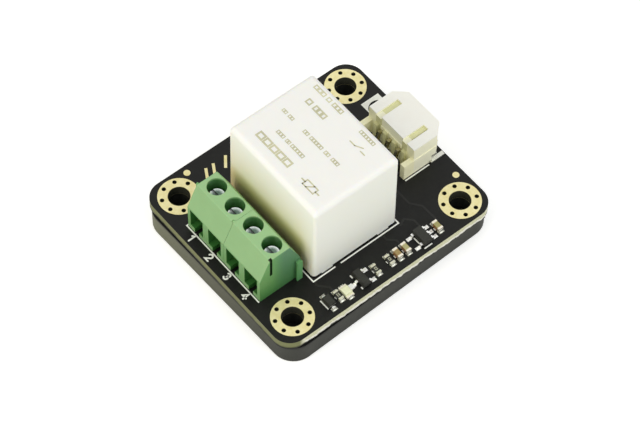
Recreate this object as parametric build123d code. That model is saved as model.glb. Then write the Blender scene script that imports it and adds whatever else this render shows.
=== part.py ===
from build123d import *
import math
import os

# Relay module board: a circuit board with a power relay, two joined two-way
# screw terminals, a three-pin side-entry connector and a row of small chips,
# over a shallow insulating cover. Millimetres, +Z up, X along the board from
# the terminals to the connector. The origin is under the middle of the four
# mounting holes, on the plane that the cover stands on.

# Circuit board
board_length = 37.5
board_width = 32.2
board_thickness = 1.6
board_corner_radius = 2.8
hole_inset_terminals = 3.88
hole_inset_connector = 3.62
hole_inset_y = 3.6
mounting_hole_radius = 1.6
pad_radius = 3.05
pad_thickness = 0.05
pad_barrel_wall = 0.1
via_count = 8
via_radius = 0.34
via_circle_radius = 2.45
pin_hole_gap = 0.1

# Insulating cover under the board, a little askew as it is fitted
cover_inset = 0.05
cover_corner_radius = 3.3
cover_height = 3.85
cover_wall = 1.2
cover_floor = 1.2
cover_edge_cut = 0.2
cover_turn = 1.2
cover_rim_gap = 0.15
post_radius = 3.3
post_hole_radius = 1.95

# Fits between fixed pieces, how far joined solids overlap and cuts run past a face
snug_gap = 0.02
seat_gap = 0.05
overlap = 0.1
past = 1.0

# Relay: u runs across it along X, v along its length along Y
relay_gap = 0.9
relay_y = -0.375
relay_width = 14.82
relay_length = 18.55
relay_height = 15.5
relay_corner_radius = 0.6
relay_top_radius = 0.8
relay_draft = 0.4
relay_wall = 0.9
relay_top_wall = 0.9
relay_foot_height = 0.32
relay_foot_width = 1.9
relay_foot_inset = 1.5
relay_base_thickness = 1.9
relay_side_clearance = 0.25
relay_base_gap = 0.1
relay_pin_length = 3.1
coil_pin_radius = 0.3
blade_thickness = 0.4
blade_width = 1.0
blade_inset = 0.1

# Relay magnet
yoke_thickness = 1.2
yoke_width = 8.8
yoke_rear_gap = 0.75
yoke_foot_setback = 1.0
bobbin_size = 10.3
bobbin_flange = 0.8
bobbin_tube_wall = 0.65
bobbin_ear_width = 1.6
bobbin_ear_root = 1.0
coil_pin_recess = 0.2
winding_inset = 0.35
core_radius = 2.4
core_neck_radius = 1.9
pole_radius = 3.3
pole_thickness = 0.6
pole_gap = 0.35
hinge_gap = 0.05

# Relay armature and contacts
armature_thickness = 1.0
armature_width = 8.4
armature_travel = 2.2
armature_nose = 0.6
armature_nose_margin = 1.0
leaf_thickness = 0.2
leaf_width = 2.6
leaf_tail = 4.0
leaf_end = 0.3
rivet_radius = 0.9
rivet_proud = 0.5
fixed_rivet_height = 0.35
contact_reach = 2.1
contact_strip_thickness = 0.4
contact_strip_width = 2.8
tongue_margin = 0.2
contact_headroom = 0.5
closed_contact_gap = 0.03
open_contact_gap = 0.06

# Screw terminals: x runs back from the front face
terminal_pitch = 3.96
ways_per_block = 2
block_count = 2
terminal_setback = 1.93
terminal_depth = 7.05
terminal_height = 8.55
terminal_front_height = 4.75
terminal_slope_run = 1.75
terminal_top_depth = 3.45
terminal_rear_height = 4.4
terminal_edge_radius = 0.18
block_gap = 0.04
well_radius = 1.42
screw_setback = 3.65
screw_head_radius = 1.26
screw_head_height = 0.9
screw_shank_radius = 0.95
screw_slot_width = 0.42
screw_slot_depth = 0.45
screw_edge_cut = 0.16
thread_gap = 0.05
ledge_thickness = 0.3
window_width = 2.77
window_depth = 1.25
window_sill = 0.95
window_head_gap = 0.1
floor_slot_width = 1.0
entry_width = 2.3
entry_head_drop = 0.6
chamber_floor = 0.5
chamber_width = 2.84
chamber_front_wall = 0.35
chamber_depth = 4.05
clamp_length = 3.0
clamp_width = 2.7
clamp_height = 3.2
clamp_bottom = 0.4
clamp_top = 0.6
clamp_side = 0.4
clamp_seat = 0.1
clamp_travel = 1.35
contact_plate_thickness = 0.4
contact_plate_width = 1.6
leg_width = 1.0
leg_thickness = 0.35
leg_length = 3.2
rib_inset = 0.1
rib_neck = 0.55
rib_width = 0.95
rib_depth = 0.62
rib_height = 4.35
key_slot_width = 0.42
key_slot_depth = 0.34
key_height = 3.75

# Three-pin connector: x runs forward from the rear wall
connector_overhang = 0.18
connector_depth = 5.95
connector_width = 9.9
connector_height = 5.5
connector_cut_x = 1.9
connector_cut_y = 1.7
connector_wall = 0.85
connector_floor = 0.9
connector_roof = 0.85
connector_rear_wall = 1.15
connector_pitch = 2.0
connector_pins = 3
roof_slot_width = 1.0
roof_slot_offset = 2.8
roof_slot_length = 3.9
roof_step_depth = 0.35
roof_step_length = 1.1
roof_centre_step = 0.15
wing_length = 1.75
wing_height = 3.0
side_step = 0.12
rear_rib_width = 0.7
rear_rib_length = 0.5
rear_rib_height = 3.6
pin_size = 0.5
pin_height = 2.45
pin_reach = 3.3
pin_foot_height = 0.3
pin_foot_length = 1.1
tab_length = 2.5
tab_setback = 0.4
tab_width = 0.65
tab_thickness = 0.3
tab_upright = 1.3

# Small chips, in one row along the front edge
chip_row_inset = 2.22
chip_length = 1.6
chip_width = 0.8
chip_cap = 0.32
chip_inset = 0.03
resistor_height = 0.45
capacitor_height = 0.8
resistor_places = (-8.1, -1.45, 1.0)
capacitor_places = (2.42, 3.88, 9.6)
led_place = -6.85
led_length = 2.0
led_width = 1.2
led_height = 0.7
led_base_height = 0.35
led_electrode = 0.4
led_shift = 0.2
led_lens_radius = 0.15
diode_place = -9.8
diode_length = 1.75
diode_width = 1.25
diode_height = 0.95
diode_lead_reach = 0.35
transistor_place = -4.05
regulator_place = 6.85
package_length = 2.8
transistor_width = 1.3
regulator_width = 1.6
package_height = 1.0
package_standoff = 0.1
package_draft = 0.12
lead_pitch = 0.95
lead_width = 0.42
lead_thickness = 0.13
lead_reach = 0.65
lead_height = 0.55

# Solder under the board
solder_radius = 1.05
solder_top_radius = 0.55
solder_height = 1.1

board_bottom = cover_height
board_top = cover_height + board_thickness
board_shift_x = (hole_inset_connector - hole_inset_terminals) / 2
board_x0 = board_shift_x - board_length / 2
board_x1 = board_shift_x + board_length / 2
hole_spacing_x = board_length - hole_inset_terminals - hole_inset_connector
hole_spacing_y = board_width - 2 * hole_inset_y
terminal_front = board_x0 + terminal_setback
relay_x = terminal_front + terminal_depth + relay_gap + relay_width / 2
chip_row_y = chip_row_inset - board_width / 2


def block(x0, x1, y0, y1, z0, z1):
    """A box between two corners."""
    middle = ((x0 + x1) / 2, (y0 + y1) / 2, (z0 + z1) / 2)
    return Pos(*middle) * Box(x1 - x0, y1 - y0, z1 - z0)


def rod(x, y, z0, z1, radius):
    """An upright cylinder."""
    return Pos(x, y, (z0 + z1) / 2) * Cylinder(radius, z1 - z0)


def drilling(x, y, z0, z1, radius):
    """A small upright hole or peg, with eight sides to keep what repeats light."""
    return Pos(x, y, z0) * extrude(RegularPolygon(radius, 8), amount=z1 - z0)


def prism_y(points, y0, y1, radius=0.0):
    """A profile of (x, z) points carried along Y, its corners rounded."""
    face = make_face(Polyline([(x, 0, z) for x, z in points], close=True))
    if radius > 0:
        face = fillet(face.vertices(), radius)
    return Pos(0, y0, 0) * extrude(face, amount=y1 - y0, dir=(0, 1, 0))


def prism_z(points, z0, z1):
    """A plan of (x, y) points carried up Z."""
    face = make_face(Polyline([(x, y, 0) for x, y in points], close=True))
    return Pos(0, 0, z0) * extrude(face, amount=z1 - z0, dir=(0, 0, 1))


def rounded_plate(length, width, radius, z0, z1):
    """A plate with round corners about the board's middle."""
    outline = RectangleRounded(length, width, radius)
    return Pos(board_shift_x, 0, z0) * extrude(outline, amount=z1 - z0)


def mounting_places():
    """Centres of the four mounting holes."""
    return [(sx * hole_spacing_x / 2, sy * hole_spacing_y / 2) for sx in (-1, 1) for sy in (-1, 1)]


def via_places(x, y):
    """Centres of the small plated holes round one mounting hole."""
    step = 2 * math.pi / via_count
    angles = [step * (i + 0.5) for i in range(via_count)]
    return [(x + via_circle_radius * math.cos(a), y + via_circle_radius * math.sin(a)) for a in angles]


def circuit_board(pin_places):
    """The drilled board; pin_places holds (x, y, hole radius)."""
    board = rounded_plate(board_length, board_width, board_corner_radius, board_bottom, board_top)
    z0 = board_bottom - past
    z1 = board_top + past
    bore = mounting_hole_radius + pad_barrel_wall + snug_gap
    for x, y in mounting_places():
        board -= rod(x, y, z0, z1, bore)
        board -= [drilling(vx, vy, z0, z1, via_radius) for vx, vy in via_places(x, y)]
    return board - [drilling(x, y, z0, z1, r) for x, y, r in pin_places]


def mounting_pad(x, y):
    """One plated mounting hole: a ring on each side of the board, joined by a barrel."""
    top = board_top + pad_thickness
    bottom = board_bottom - pad_thickness
    pad = rod(x, y, bottom, top, mounting_hole_radius + pad_barrel_wall)
    pad += rod(x, y, board_top, top, pad_radius)
    pad += rod(x, y, bottom, board_bottom, pad_radius)
    z0 = bottom - past
    z1 = top + past
    pad -= rod(x, y, z0, z1, mounting_hole_radius)
    return pad - [drilling(vx, vy, z0, z1, via_radius) for vx, vy in via_places(x, y)]


def bottom_cover():
    """Tray under the board: floor, wall, and a post with a clearance hole at each screw."""
    length = board_length - 2 * cover_inset
    width = board_width - 2 * cover_inset
    rim = cover_height - cover_rim_gap
    post_top = cover_height - pad_thickness
    tray = rounded_plate(length, width, cover_corner_radius, 0, rim)
    tray = chamfer(tray.edges().group_by(Axis.Z)[0], cover_edge_cut)
    tray -= rounded_plate(length - 2 * cover_wall, width - 2 * cover_wall,
                          cover_corner_radius - cover_wall, cover_floor, rim + past)
    shell = rounded_plate(length, width, cover_corner_radius, 0, post_top)
    for x, y in mounting_places():
        tray += rod(x, y, cover_floor / 2, post_top, post_radius) & shell
    tray = Rot(0, 0, cover_turn) * tray
    for x, y in mounting_places():
        tray -= rod(x, y, -past, post_top + past, post_hole_radius)
    return tray


# Levels inside the relay, above the board's top face

relay_ceiling = relay_height - relay_top_wall
strip_top = relay_ceiling - contact_headroom
closed_rivet_bottom = strip_top - contact_strip_thickness - fixed_rivet_height
leaf_top = closed_rivet_bottom - closed_contact_gap - rivet_proud
leaf_bottom = leaf_top - leaf_thickness
armature_bottom = leaf_bottom - armature_thickness
yoke_top = armature_bottom - hinge_gap
core_top = armature_bottom - pole_gap
base_top = relay_foot_height + relay_base_thickness
yoke_bottom = base_top + seat_gap
flange_bottom = yoke_bottom + yoke_thickness + seat_gap
flange_top = core_top - pole_thickness - seat_gap

# Places along the relay

inner_u = relay_width / 2 - relay_wall - relay_side_clearance
inner_v = relay_length / 2 - relay_wall - relay_side_clearance
yoke_rear = inner_v - yoke_rear_gap + relay_side_clearance
hinge_v = yoke_rear - yoke_thickness
bobbin_rear = hinge_v - seat_gap
bobbin_front = bobbin_rear - bobbin_size
coil_v = bobbin_rear - bobbin_size / 2
contact_v = contact_reach - inner_v
pin_u = inner_u - blade_inset - blade_width / 2
coil_pin_v = bobbin_rear - bobbin_ear_width
open_rivet_drop = (hinge_v - contact_v + rivet_radius) * math.sin(math.radians(armature_travel))
open_rivet_top = leaf_bottom - rivet_proud - open_rivet_drop - open_contact_gap
pin_bottom = -relay_pin_length


def at_relay(shape):
    """Puts a piece modelled about the relay's foot plane on the board."""
    return Pos(relay_x, relay_y, board_top) * shape


def relay_case():
    """Moulded cover: drafted walls, round corners and edges, open below, on short feet."""
    outer = extrude(RectangleRounded(relay_width, relay_length, relay_corner_radius),
                    amount=relay_height, taper=relay_draft)
    outer = fillet(outer.edges().group_by(Axis.Z)[-1], relay_top_radius)
    inner = extrude(RectangleRounded(relay_width - 2 * relay_wall, relay_length - 2 * relay_wall,
                                     relay_corner_radius / 2),
                    amount=relay_ceiling, taper=relay_draft)
    case = outer - inner
    foot_end = relay_width / 2 - relay_foot_inset
    gaps_u = [(-relay_width, -foot_end), (foot_end, relay_width),
              (relay_foot_width - foot_end, foot_end - relay_foot_width)]
    for u0, u1 in gaps_u:
        case -= block(u0, u1, -relay_length, relay_length, -past, relay_foot_height)
    return at_relay(case)


def relay_base():
    """Plate that closes the case, drilled for the pins."""
    inset = 2 * (relay_wall + relay_base_gap)
    outline = RectangleRounded(relay_width - inset, relay_length - inset, relay_corner_radius / 2)
    base = Pos(0, 0, relay_foot_height) * extrude(outline, amount=relay_base_thickness)
    for u in (-pin_u, pin_u):
        base -= rod(u, coil_pin_v, -past, base_top + past, coil_pin_radius + snug_gap)
        base -= blade_hole(u, contact_strip_v())
    base -= blade_hole(0, yoke_rear + blade_thickness / 2)
    return at_relay(base)


def blade_hole(u, v):
    """Slot in the base for one flat pin."""
    half_u = blade_width / 2 + snug_gap
    half_v = blade_thickness / 2 + snug_gap
    return block(u - half_u, u + half_u, v - half_v, v + half_v, -past, base_top + past)


def contact_strip_v():
    """Middle of the upright contact strips, at the contact end of the case."""
    return -inner_v + contact_strip_thickness / 2


def relay_pin_places():
    """Where the relay's pins pass through the board, with the hole radii."""
    blade_radius = math.hypot(blade_width, blade_thickness) / 2 + pin_hole_gap
    places = [(u, coil_pin_v, coil_pin_radius + pin_hole_gap) for u in (-pin_u, pin_u)]
    places += [(u, contact_strip_v(), blade_radius) for u in (-pin_u, pin_u)]
    places.append((0, yoke_rear + blade_thickness / 2, blade_radius))
    return [(relay_x + u, relay_y + v, r) for u, v, r in places]


def coil_bobbin():
    """Flanged former; its lower flange has an ear for each coil pin."""
    tube_radius = core_radius + seat_gap + bobbin_tube_wall
    half = bobbin_size / 2
    bobbin = rod(0, coil_v, flange_bottom, flange_top, tube_radius)
    for z in (flange_bottom, flange_top - bobbin_flange):
        bobbin += block(-half, half, bobbin_front, bobbin_rear, z, z + bobbin_flange)
    ear_end = pin_u + coil_pin_radius + seat_gap
    ear = (coil_pin_v - bobbin_ear_width / 2, coil_pin_v + bobbin_ear_width / 2)
    for side in (-1, 1):
        u0, u1 = sorted((side * (half - bobbin_ear_root), side * ear_end))
        bobbin += block(u0, u1, *ear, flange_bottom, flange_bottom + bobbin_flange)
        bobbin -= rod(side * pin_u, coil_pin_v, 0, coil_pin_top(), coil_pin_radius + snug_gap)
    return at_relay(bobbin - rod(0, coil_v, 0, relay_height, core_radius + seat_gap))


def coil_pin_top():
    """The coil pins end inside the lower flange."""
    return flange_bottom + bobbin_flange - coil_pin_recess


def coil_winding():
    """Copper winding between the flanges."""
    outer = bobbin_size / 2 - winding_inset
    inner = core_radius + seat_gap + bobbin_tube_wall + snug_gap
    z0 = flange_bottom + bobbin_flange + snug_gap
    z1 = flange_top - bobbin_flange - snug_gap
    return at_relay(rod(0, coil_v, z0, z1, outer) - rod(0, coil_v, z0 - past, z1 + past, inner))


def iron_core():
    """Core with a wide pole on top and a neck riveted into the yoke."""
    core = rod(0, coil_v, yoke_bottom + yoke_thickness, core_top, core_radius)
    core += rod(0, coil_v, yoke_bottom, yoke_bottom + yoke_thickness, core_neck_radius)
    core += rod(0, coil_v, core_top - pole_thickness, core_top, pole_radius)
    return at_relay(core)


def yoke():
    """L-shaped iron: a foot under the coil and a leg up to the armature."""
    half = yoke_width / 2
    iron = block(-half, half, bobbin_front + yoke_foot_setback, yoke_rear, yoke_bottom,
                 yoke_bottom + yoke_thickness)
    iron += block(-half, half, hinge_v, yoke_rear, yoke_bottom, yoke_top)
    return at_relay(iron - rod(0, coil_v, 0, yoke_top, core_neck_radius + snug_gap))


def armature():
    """Iron plate that rocks on the yoke's inner edge, narrower past the pole."""
    half = armature_width / 2
    front = coil_v - pole_radius - armature_nose
    nose = leaf_width / 2 + armature_nose_margin
    points = [(-half, yoke_rear), (half, yoke_rear), (half, coil_v), (nose, front), (-nose, front),
              (-half, coil_v)]
    return at_relay(prism_z(points, armature_bottom, leaf_bottom))


def contact_leaf():
    """Spring leaf along the armature, bent down behind the yoke, holed for its rivet."""
    half = leaf_width / 2
    tail_v = yoke_rear + seat_gap
    leaf = block(-half, half, contact_v - rivet_radius - leaf_end, tail_v + leaf_thickness,
                 leaf_bottom, leaf_top)
    leaf += block(-half, half, tail_v, tail_v + leaf_thickness, leaf_bottom - leaf_tail, leaf_top)
    return at_relay(leaf - rod(0, contact_v, 0, relay_height, rivet_radius / 2 + snug_gap))


def moving_rivet():
    """Silver rivet through the leaf, with a face for each fixed contact."""
    rivet = rod(0, contact_v, leaf_top, leaf_top + rivet_proud, rivet_radius)
    rivet += rod(0, contact_v, leaf_bottom - rivet_proud, leaf_bottom, rivet_radius)
    rivet += rod(0, contact_v, leaf_bottom, leaf_top, rivet_radius / 2)
    return at_relay(rivet)


def contact_strip(side, tongue_top):
    """Fixed contact: a flat pin, an upright strip and a tongue that reaches the rivet."""
    v0 = -inner_v
    v1 = v0 + contact_strip_thickness
    outer = pin_u + blade_width / 2
    upright = sorted((side * outer, side * (outer - contact_strip_width)))
    tongue = sorted((side * outer, -side * (rivet_radius + tongue_margin)))
    pin = sorted((side * outer, side * (outer - blade_width)))
    tongue_bottom = tongue_top - contact_strip_thickness
    strip = block(*upright, v0, v1, base_top, tongue_top)
    strip += block(*tongue, v0, contact_v + rivet_radius, tongue_bottom, tongue_top)
    strip += block(*pin, v0, v1, pin_bottom, base_top)
    return at_relay(strip)


def fixed_rivet(z0):
    """Silver rivet head on a contact strip's tongue."""
    return at_relay(rod(0, contact_v, z0, z0 + fixed_rivet_height, rivet_radius))


def common_pin():
    """Flat pin welded to the back of the yoke."""
    return at_relay(block(-blade_width / 2, blade_width / 2, yoke_rear, yoke_rear + blade_thickness,
                          pin_bottom, yoke_bottom + 2 * yoke_thickness))


def coil_pin(side):
    """Round pin from the bobbin's ear down through the base and the board."""
    return at_relay(rod(side * pin_u, coil_pin_v, pin_bottom, coil_pin_top(), coil_pin_radius))


# Screw terminal, above the board's top face

block_length = ways_per_block * terminal_pitch
screw_x = terminal_front + screw_setback
clamp_z0 = chamber_floor + clamp_seat
chamber_top = clamp_z0 + clamp_height + clamp_travel + seat_gap
ledge_top = chamber_top + ledge_thickness
head_bottom = ledge_top + seat_gap
head_top = head_bottom + screw_head_height
chamber_x0 = terminal_front + window_depth + chamber_front_wall
chamber_x1 = chamber_x0 + chamber_depth
plate_top = clamp_z0 + clamp_height - clamp_top - seat_gap
plate_bottom = plate_top - contact_plate_thickness
leg_x0 = screw_x + clamp_length / 2 + seat_gap
rib_x1 = terminal_front + terminal_depth - rib_inset
key_x = terminal_front + terminal_slope_run + key_slot_width / 2


def on_board(shape):
    """Puts a piece modelled above the board's top face on the board."""
    return Pos(0, 0, board_top) * shape


def block_middles():
    """Y of the middle of each two-way block, first to last."""
    return [block_length * ((block_count - 1) / 2 - i) for i in range(block_count)]


def way_middles(block_y):
    """Y of each way of one block."""
    return [block_y + terminal_pitch * ((ways_per_block - 1) / 2 - i) for i in range(ways_per_block)]


def rib_plan(y, gap):
    """Dovetail in plan: a narrow neck at y, widening outwards along -Y."""
    middle = rib_x1 - rib_width / 2
    neck = rib_neck / 2 + gap
    wide = rib_width / 2 + gap
    tip = y - rib_depth - gap
    return [(middle - neck, y), (middle - wide, tip), (middle + wide, tip), (middle + neck, y)]


def terminal_housing(block_y):
    """Two-way housing: sloped front, screw wells, wire windows, clamp chambers, side joints."""
    y0 = block_y - block_length / 2 + block_gap / 2
    y1 = block_y + block_length / 2 - block_gap / 2
    x0 = terminal_front
    x1 = x0 + terminal_depth
    ridge = x0 + terminal_slope_run
    profile = [(x0, 0), (x0, terminal_front_height), (ridge, terminal_height),
               (ridge + terminal_top_depth, terminal_height), (x1, terminal_rear_height), (x1, 0)]
    housing = prism_y(profile, y0, y1, terminal_edge_radius)
    housing += prism_z(rib_plan(y0, 0), 0, rib_height)
    housing -= prism_z(rib_plan(y1 + snug_gap, seat_gap), -past, rib_height + seat_gap)
    key_z0 = terminal_height - key_height
    half_key = key_slot_width / 2
    housing -= block(key_x - half_key, key_x + half_key, y0 - past, y0 + key_slot_depth,
                     key_z0, terminal_height + past)
    half_tab = half_key - seat_gap
    housing += block(key_x - half_tab, key_x + half_tab, y1, y1 + key_slot_depth - seat_gap,
                     key_z0 + seat_gap, terminal_height - seat_gap)
    for y in way_middles(block_y):
        housing -= way_cavity(y)
    return on_board(housing)


def way_cavity(y):
    """Everything cut out of the housing for one way."""
    x0 = terminal_front
    window_x1 = x0 + window_depth
    half = window_width / 2
    window_top = terminal_front_height - window_head_gap
    cavity = rod(screw_x, y, ledge_top, terminal_height + past, well_radius)
    cavity += rod(screw_x, y, chamber_top - overlap, ledge_top + overlap,
                  screw_shank_radius + 2 * thread_gap)
    half_chamber = chamber_width / 2
    cavity += block(chamber_x0, chamber_x1, y - half_chamber, y + half_chamber, chamber_floor,
                    chamber_top)
    cavity += block(x0 - past, window_x1, y - half, y + half, window_sill, window_top)
    cavity += block(window_x1 - overlap, chamber_x0 + overlap, y - entry_width / 2,
                    y + entry_width / 2, window_sill, window_top - entry_head_drop)
    cavity += block(x0 - past, window_x1, y - floor_slot_width / 2, y + floor_slot_width / 2, -past,
                    window_sill + overlap)
    leg_half = leg_width / 2 + seat_gap
    cavity += block(leg_x0 - seat_gap, leg_x0 + leg_thickness + seat_gap, y - leg_half, y + leg_half,
                    -past, chamber_floor + overlap)
    return cavity


def terminal_screw(y):
    """Slotted clamping screw, held by the ledge under its head."""
    screw = rod(screw_x, y, head_bottom, head_top, screw_head_radius)
    screw = chamfer(screw.edges().group_by(Axis.Z)[-1], screw_edge_cut)
    screw += rod(screw_x, y, plate_top + seat_gap, head_bottom, screw_shank_radius)
    half = screw_slot_width / 2
    screw -= block(screw_x - half, screw_x + half, y - well_radius, y + well_radius,
                   head_top - screw_slot_depth, head_top + past)
    return on_board(screw)


def wire_clamp(y):
    """Rising clamp: a metal box, open front and back, threaded on top for the screw."""
    half_x = clamp_length / 2
    half_y = clamp_width / 2
    top = clamp_z0 + clamp_height
    clamp = block(screw_x - half_x, screw_x + half_x, y - half_y, y + half_y, clamp_z0, top)
    upright = clamp.edges().filter_by(Axis.X)
    clamp = fillet(upright, clamp_side)
    clamp -= block(screw_x - half_x - past, screw_x + half_x + past, y - half_y + clamp_side,
                   y + half_y - clamp_side, clamp_z0 + clamp_bottom, top - clamp_top)
    clamp -= rod(screw_x, y, clamp_z0 + clamp_bottom, top + past, screw_shank_radius + thread_gap)
    return on_board(clamp)


def terminal_contact(y):
    """Fixed contact: a plate through the clamp, bent down into the soldered leg."""
    half = contact_plate_width / 2
    half_leg = leg_width / 2
    x0 = screw_x - clamp_length / 2 - seat_gap
    leg_x1 = leg_x0 + leg_thickness
    contact = block(x0, leg_x1, y - half, y + half, plate_bottom, plate_top)
    contact += block(leg_x0, leg_x1, y - half_leg, y + half_leg, -leg_length, plate_top)
    return on_board(contact)


def terminal_pin_places():
    """Where the terminal legs pass through the board, with the hole radius."""
    radius = math.hypot(leg_width, leg_thickness) / 2 + pin_hole_gap
    return [(leg_x0 + leg_thickness / 2, y, radius)
            for middle in block_middles() for y in way_middles(middle)]


# Three-pin connector, above the board's top face

connector_front = board_x1 + connector_overhang
connector_rear = connector_front - connector_depth
cavity_x0 = connector_rear + connector_rear_wall
wing_x0 = connector_rear - wing_length
contact_foot_x = wing_x0 - pin_foot_length / 2


def connector_pin_middles():
    """Y of each contact."""
    return [connector_pitch * ((connector_pins - 1) / 2 - i) for i in range(connector_pins)]


def connector_housing():
    """Side-entry shell: cut front corners, slotted roof, rear wings and ribs between contacts."""
    half = connector_width / 2
    cut_x = connector_front - connector_cut_x
    cut_y = half - connector_cut_y
    plan = [(connector_rear, -half), (cut_x, -half), (connector_front, -cut_y),
            (connector_front, cut_y), (cut_x, half), (connector_rear, half)]
    upper_half = half - side_step
    shell = prism_z(plan, 0, connector_height)
    shell -= block(connector_rear - past, cut_x + side_step, upper_half, half + past, wing_height,
                   connector_height + past)
    shell -= block(connector_rear - past, cut_x + side_step, -half - past, -upper_half, wing_height,
                   connector_height + past)
    shell -= block(cavity_x0, connector_front + past, -half + connector_wall, half - connector_wall,
                   connector_floor, connector_height - connector_roof)
    for side in (-1, 1):
        slot = sorted((side * (roof_slot_offset - roof_slot_width / 2),
                       side * (roof_slot_offset + roof_slot_width / 2)))
        shell -= block(connector_rear - past, connector_rear + roof_slot_length, *slot,
                       connector_height - roof_step_depth, connector_height + past)
        shell -= block(connector_rear + roof_step_length, connector_rear + roof_slot_length, *slot,
                       connector_height - connector_roof - overlap, connector_height + past)
        wing = sorted((side * half, side * (half - connector_wall)))
        shell += block(wing_x0, connector_rear + overlap, *wing, 0, wing_height)
        tab = sorted((side * (half - tab_notch_depth()), side * (half + past)))
        shell -= block(tab_x0() - seat_gap, tab_x0() + tab_length + seat_gap, *tab, -past,
                       tab_thickness + seat_gap)
        shell -= block(tab_x0() + tab_thickness, tab_x0() + tab_length / 2 + seat_gap, *tab, -past,
                       tab_upright + seat_gap)
    ends = [connector_pitch * (connector_pins / 2 - i) for i in range(connector_pins + 1)]
    for y in ends:
        shell += block(connector_rear - rear_rib_length, connector_rear + overlap, y - rear_rib_width / 2,
                       y + rear_rib_width / 2, 0, rear_rib_height)
    pin_gap = pin_size / 2 + snug_gap
    for y in connector_pin_middles():
        shell -= block(connector_rear - past, cavity_x0 + overlap, y - pin_gap, y + pin_gap,
                       pin_height - snug_gap, pin_height + pin_size + snug_gap)
    inner = roof_slot_offset - roof_slot_width / 2
    shell -= block(connector_rear - past, connector_rear + roof_centre_step, -inner, inner,
                   rear_rib_height, connector_height + past)
    return on_board(shell)


def tab_notch_depth():
    """How far the solder tabs reach into the housing's sides."""
    return tab_thickness + seat_gap


def tab_x0():
    """Rear end of the solder tabs."""
    return connector_front - tab_setback - tab_length


def connector_contact(y):
    """Square pin in the mouth, bent down behind the rear wall to a foot on the board."""
    top = pin_height + pin_size
    x_tip = cavity_x0 + pin_reach
    bend = connector_rear - pin_size
    foot = contact_foot_x + pin_foot_length
    points = [(x_tip, pin_height), (x_tip, top), (bend - pin_foot_height / 2, top),
              (foot - pin_foot_height, pin_foot_height), (contact_foot_x, pin_foot_height),
              (contact_foot_x, 0), (foot, 0), (bend + pin_foot_height / 2, pin_height)]
    return on_board(prism_y(points, y - pin_size / 2, y + pin_size / 2))


def solder_tab(side):
    """Metal tab that holds the connector: a foot on the board and an upright in the housing."""
    half = connector_width / 2
    inner = half - tab_thickness
    x0 = tab_x0()
    foot = sorted((side * inner, side * (inner + tab_width)))
    upright = sorted((side * inner, side * half))
    tab = block(x0, x0 + tab_length, *foot, 0, tab_thickness)
    tab += block(x0 + tab_thickness + seat_gap, x0 + tab_length / 2, *upright, 0, tab_upright)
    return on_board(tab)


def chip(x, height):
    """Two-ended chip along Y: a body and a metal cap at each end, as three solids."""
    half = chip_length / 2
    side = chip_width / 2
    y = chip_row_y
    body = block(x - side + chip_inset, x + side - chip_inset, y - half + chip_cap, y + half - chip_cap,
                 chip_inset, height - chip_inset)
    caps = [block(x - side, x + side, y0, y0 + chip_cap, 0, height)
            for y0 in (y - half, y + half - chip_cap)]
    return on_board(Compound([body.solid()] + [cap.solid() for cap in caps]))


def indicator_led():
    """Indicator lamp: a base with an electrode at each end and a rounded lens."""
    x, y = led_place, chip_row_y - led_shift
    half = led_length / 2
    side = led_width / 2
    base = block(x - side, x + side, y - half, y + half, 0, led_base_height)
    lens = block(x - side, x + side, y - half + led_electrode, y + half - led_electrode,
                 led_base_height, led_height)
    lens = fillet(lens.edges().group_by(Axis.Z)[-1], led_lens_radius)
    return on_board(base + lens)


def tapered_body(x, y, width, length, z0, z1):
    """Moulded package body, drafted to both faces from its middle."""
    middle = (z0 + z1) / 2
    half_x = width / 2
    half_y = length / 2
    rise = z1 - middle
    lean = math.degrees(math.atan2(package_draft, rise))
    face = Rectangle(2 * half_x, 2 * half_y)
    upper = Pos(x, y, middle) * extrude(face, amount=rise, taper=lean)
    lower = Pos(x, y, middle) * extrude(face, amount=-rise, taper=lean)
    return upper + lower


def gull_lead(x, y, side, body_half):
    """One bent lead from the side of a package down to its pad."""
    knee = body_half + lead_reach / 2
    toe = body_half + lead_reach
    t = lead_thickness
    middle = package_standoff + package_height / 2
    points = [(body_half, middle), (knee, middle), (knee + t, t), (toe + t, t), (toe + t, 0),
              (knee, 0), (knee - t, middle - t), (body_half, middle - t)]
    placed = [(x + side * px, pz) for px, pz in points]
    return prism_y(placed, y - lead_width / 2, y + lead_width / 2)


def leaded_package(x, width, left_leads, right_leads):
    """Small moulded package with gull-wing leads, each lead its own solid."""
    y = chip_row_y
    body = tapered_body(x, y, width, package_length, package_standoff,
                        package_standoff + package_height)
    solids = [body.solid()]
    for side, count in ((-1, left_leads), (1, right_leads)):
        for i in lead_rows(count):
            solids.append(gull_lead(x, y + i * lead_pitch, side, width / 2).solid())
    return on_board(Compound(solids))


def lead_rows(count):
    """Lead places in pitches from the middle: one, the two outer ones or all three."""
    return {1: (0,), 2: (-1, 1), 3: (-1, 0, 1)}[count]


def diode():
    """Two-lead diode along Y: a moulded body with a flat lead at each end."""
    x, y = diode_place, chip_row_y
    half = diode_length / 2
    body = tapered_body(x, y, diode_width, diode_length, package_standoff / 2, diode_height)
    leads = []
    for side in (-1, 1):
        ends = sorted((y + side * (half + diode_lead_reach), y + side * half))
        leads.append(block(x - lead_width / 2, x + lead_width / 2, *ends, 0, 2 * lead_thickness))
    return on_board(Compound([body.solid()] + [lead.solid() for lead in leads]))


def solder_cone(x, y):
    """Cone of solder under the board, wide end up, in eight sides."""
    lean = math.degrees(math.atan2(solder_radius - solder_top_radius, solder_height))
    foot = Pos(x, y, board_bottom) * RegularPolygon(solder_radius, 8)
    return extrude(foot, amount=solder_height, dir=(0, 0, -1), taper=lean)


def solder_joint(x, y, hole_x, hole_y):
    """Solder round one flat pin."""
    hole = block(x - hole_x, x + hole_x, y - hole_y, y + hole_y, 0, board_top)
    return solder_cone(x, y) - hole


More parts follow.
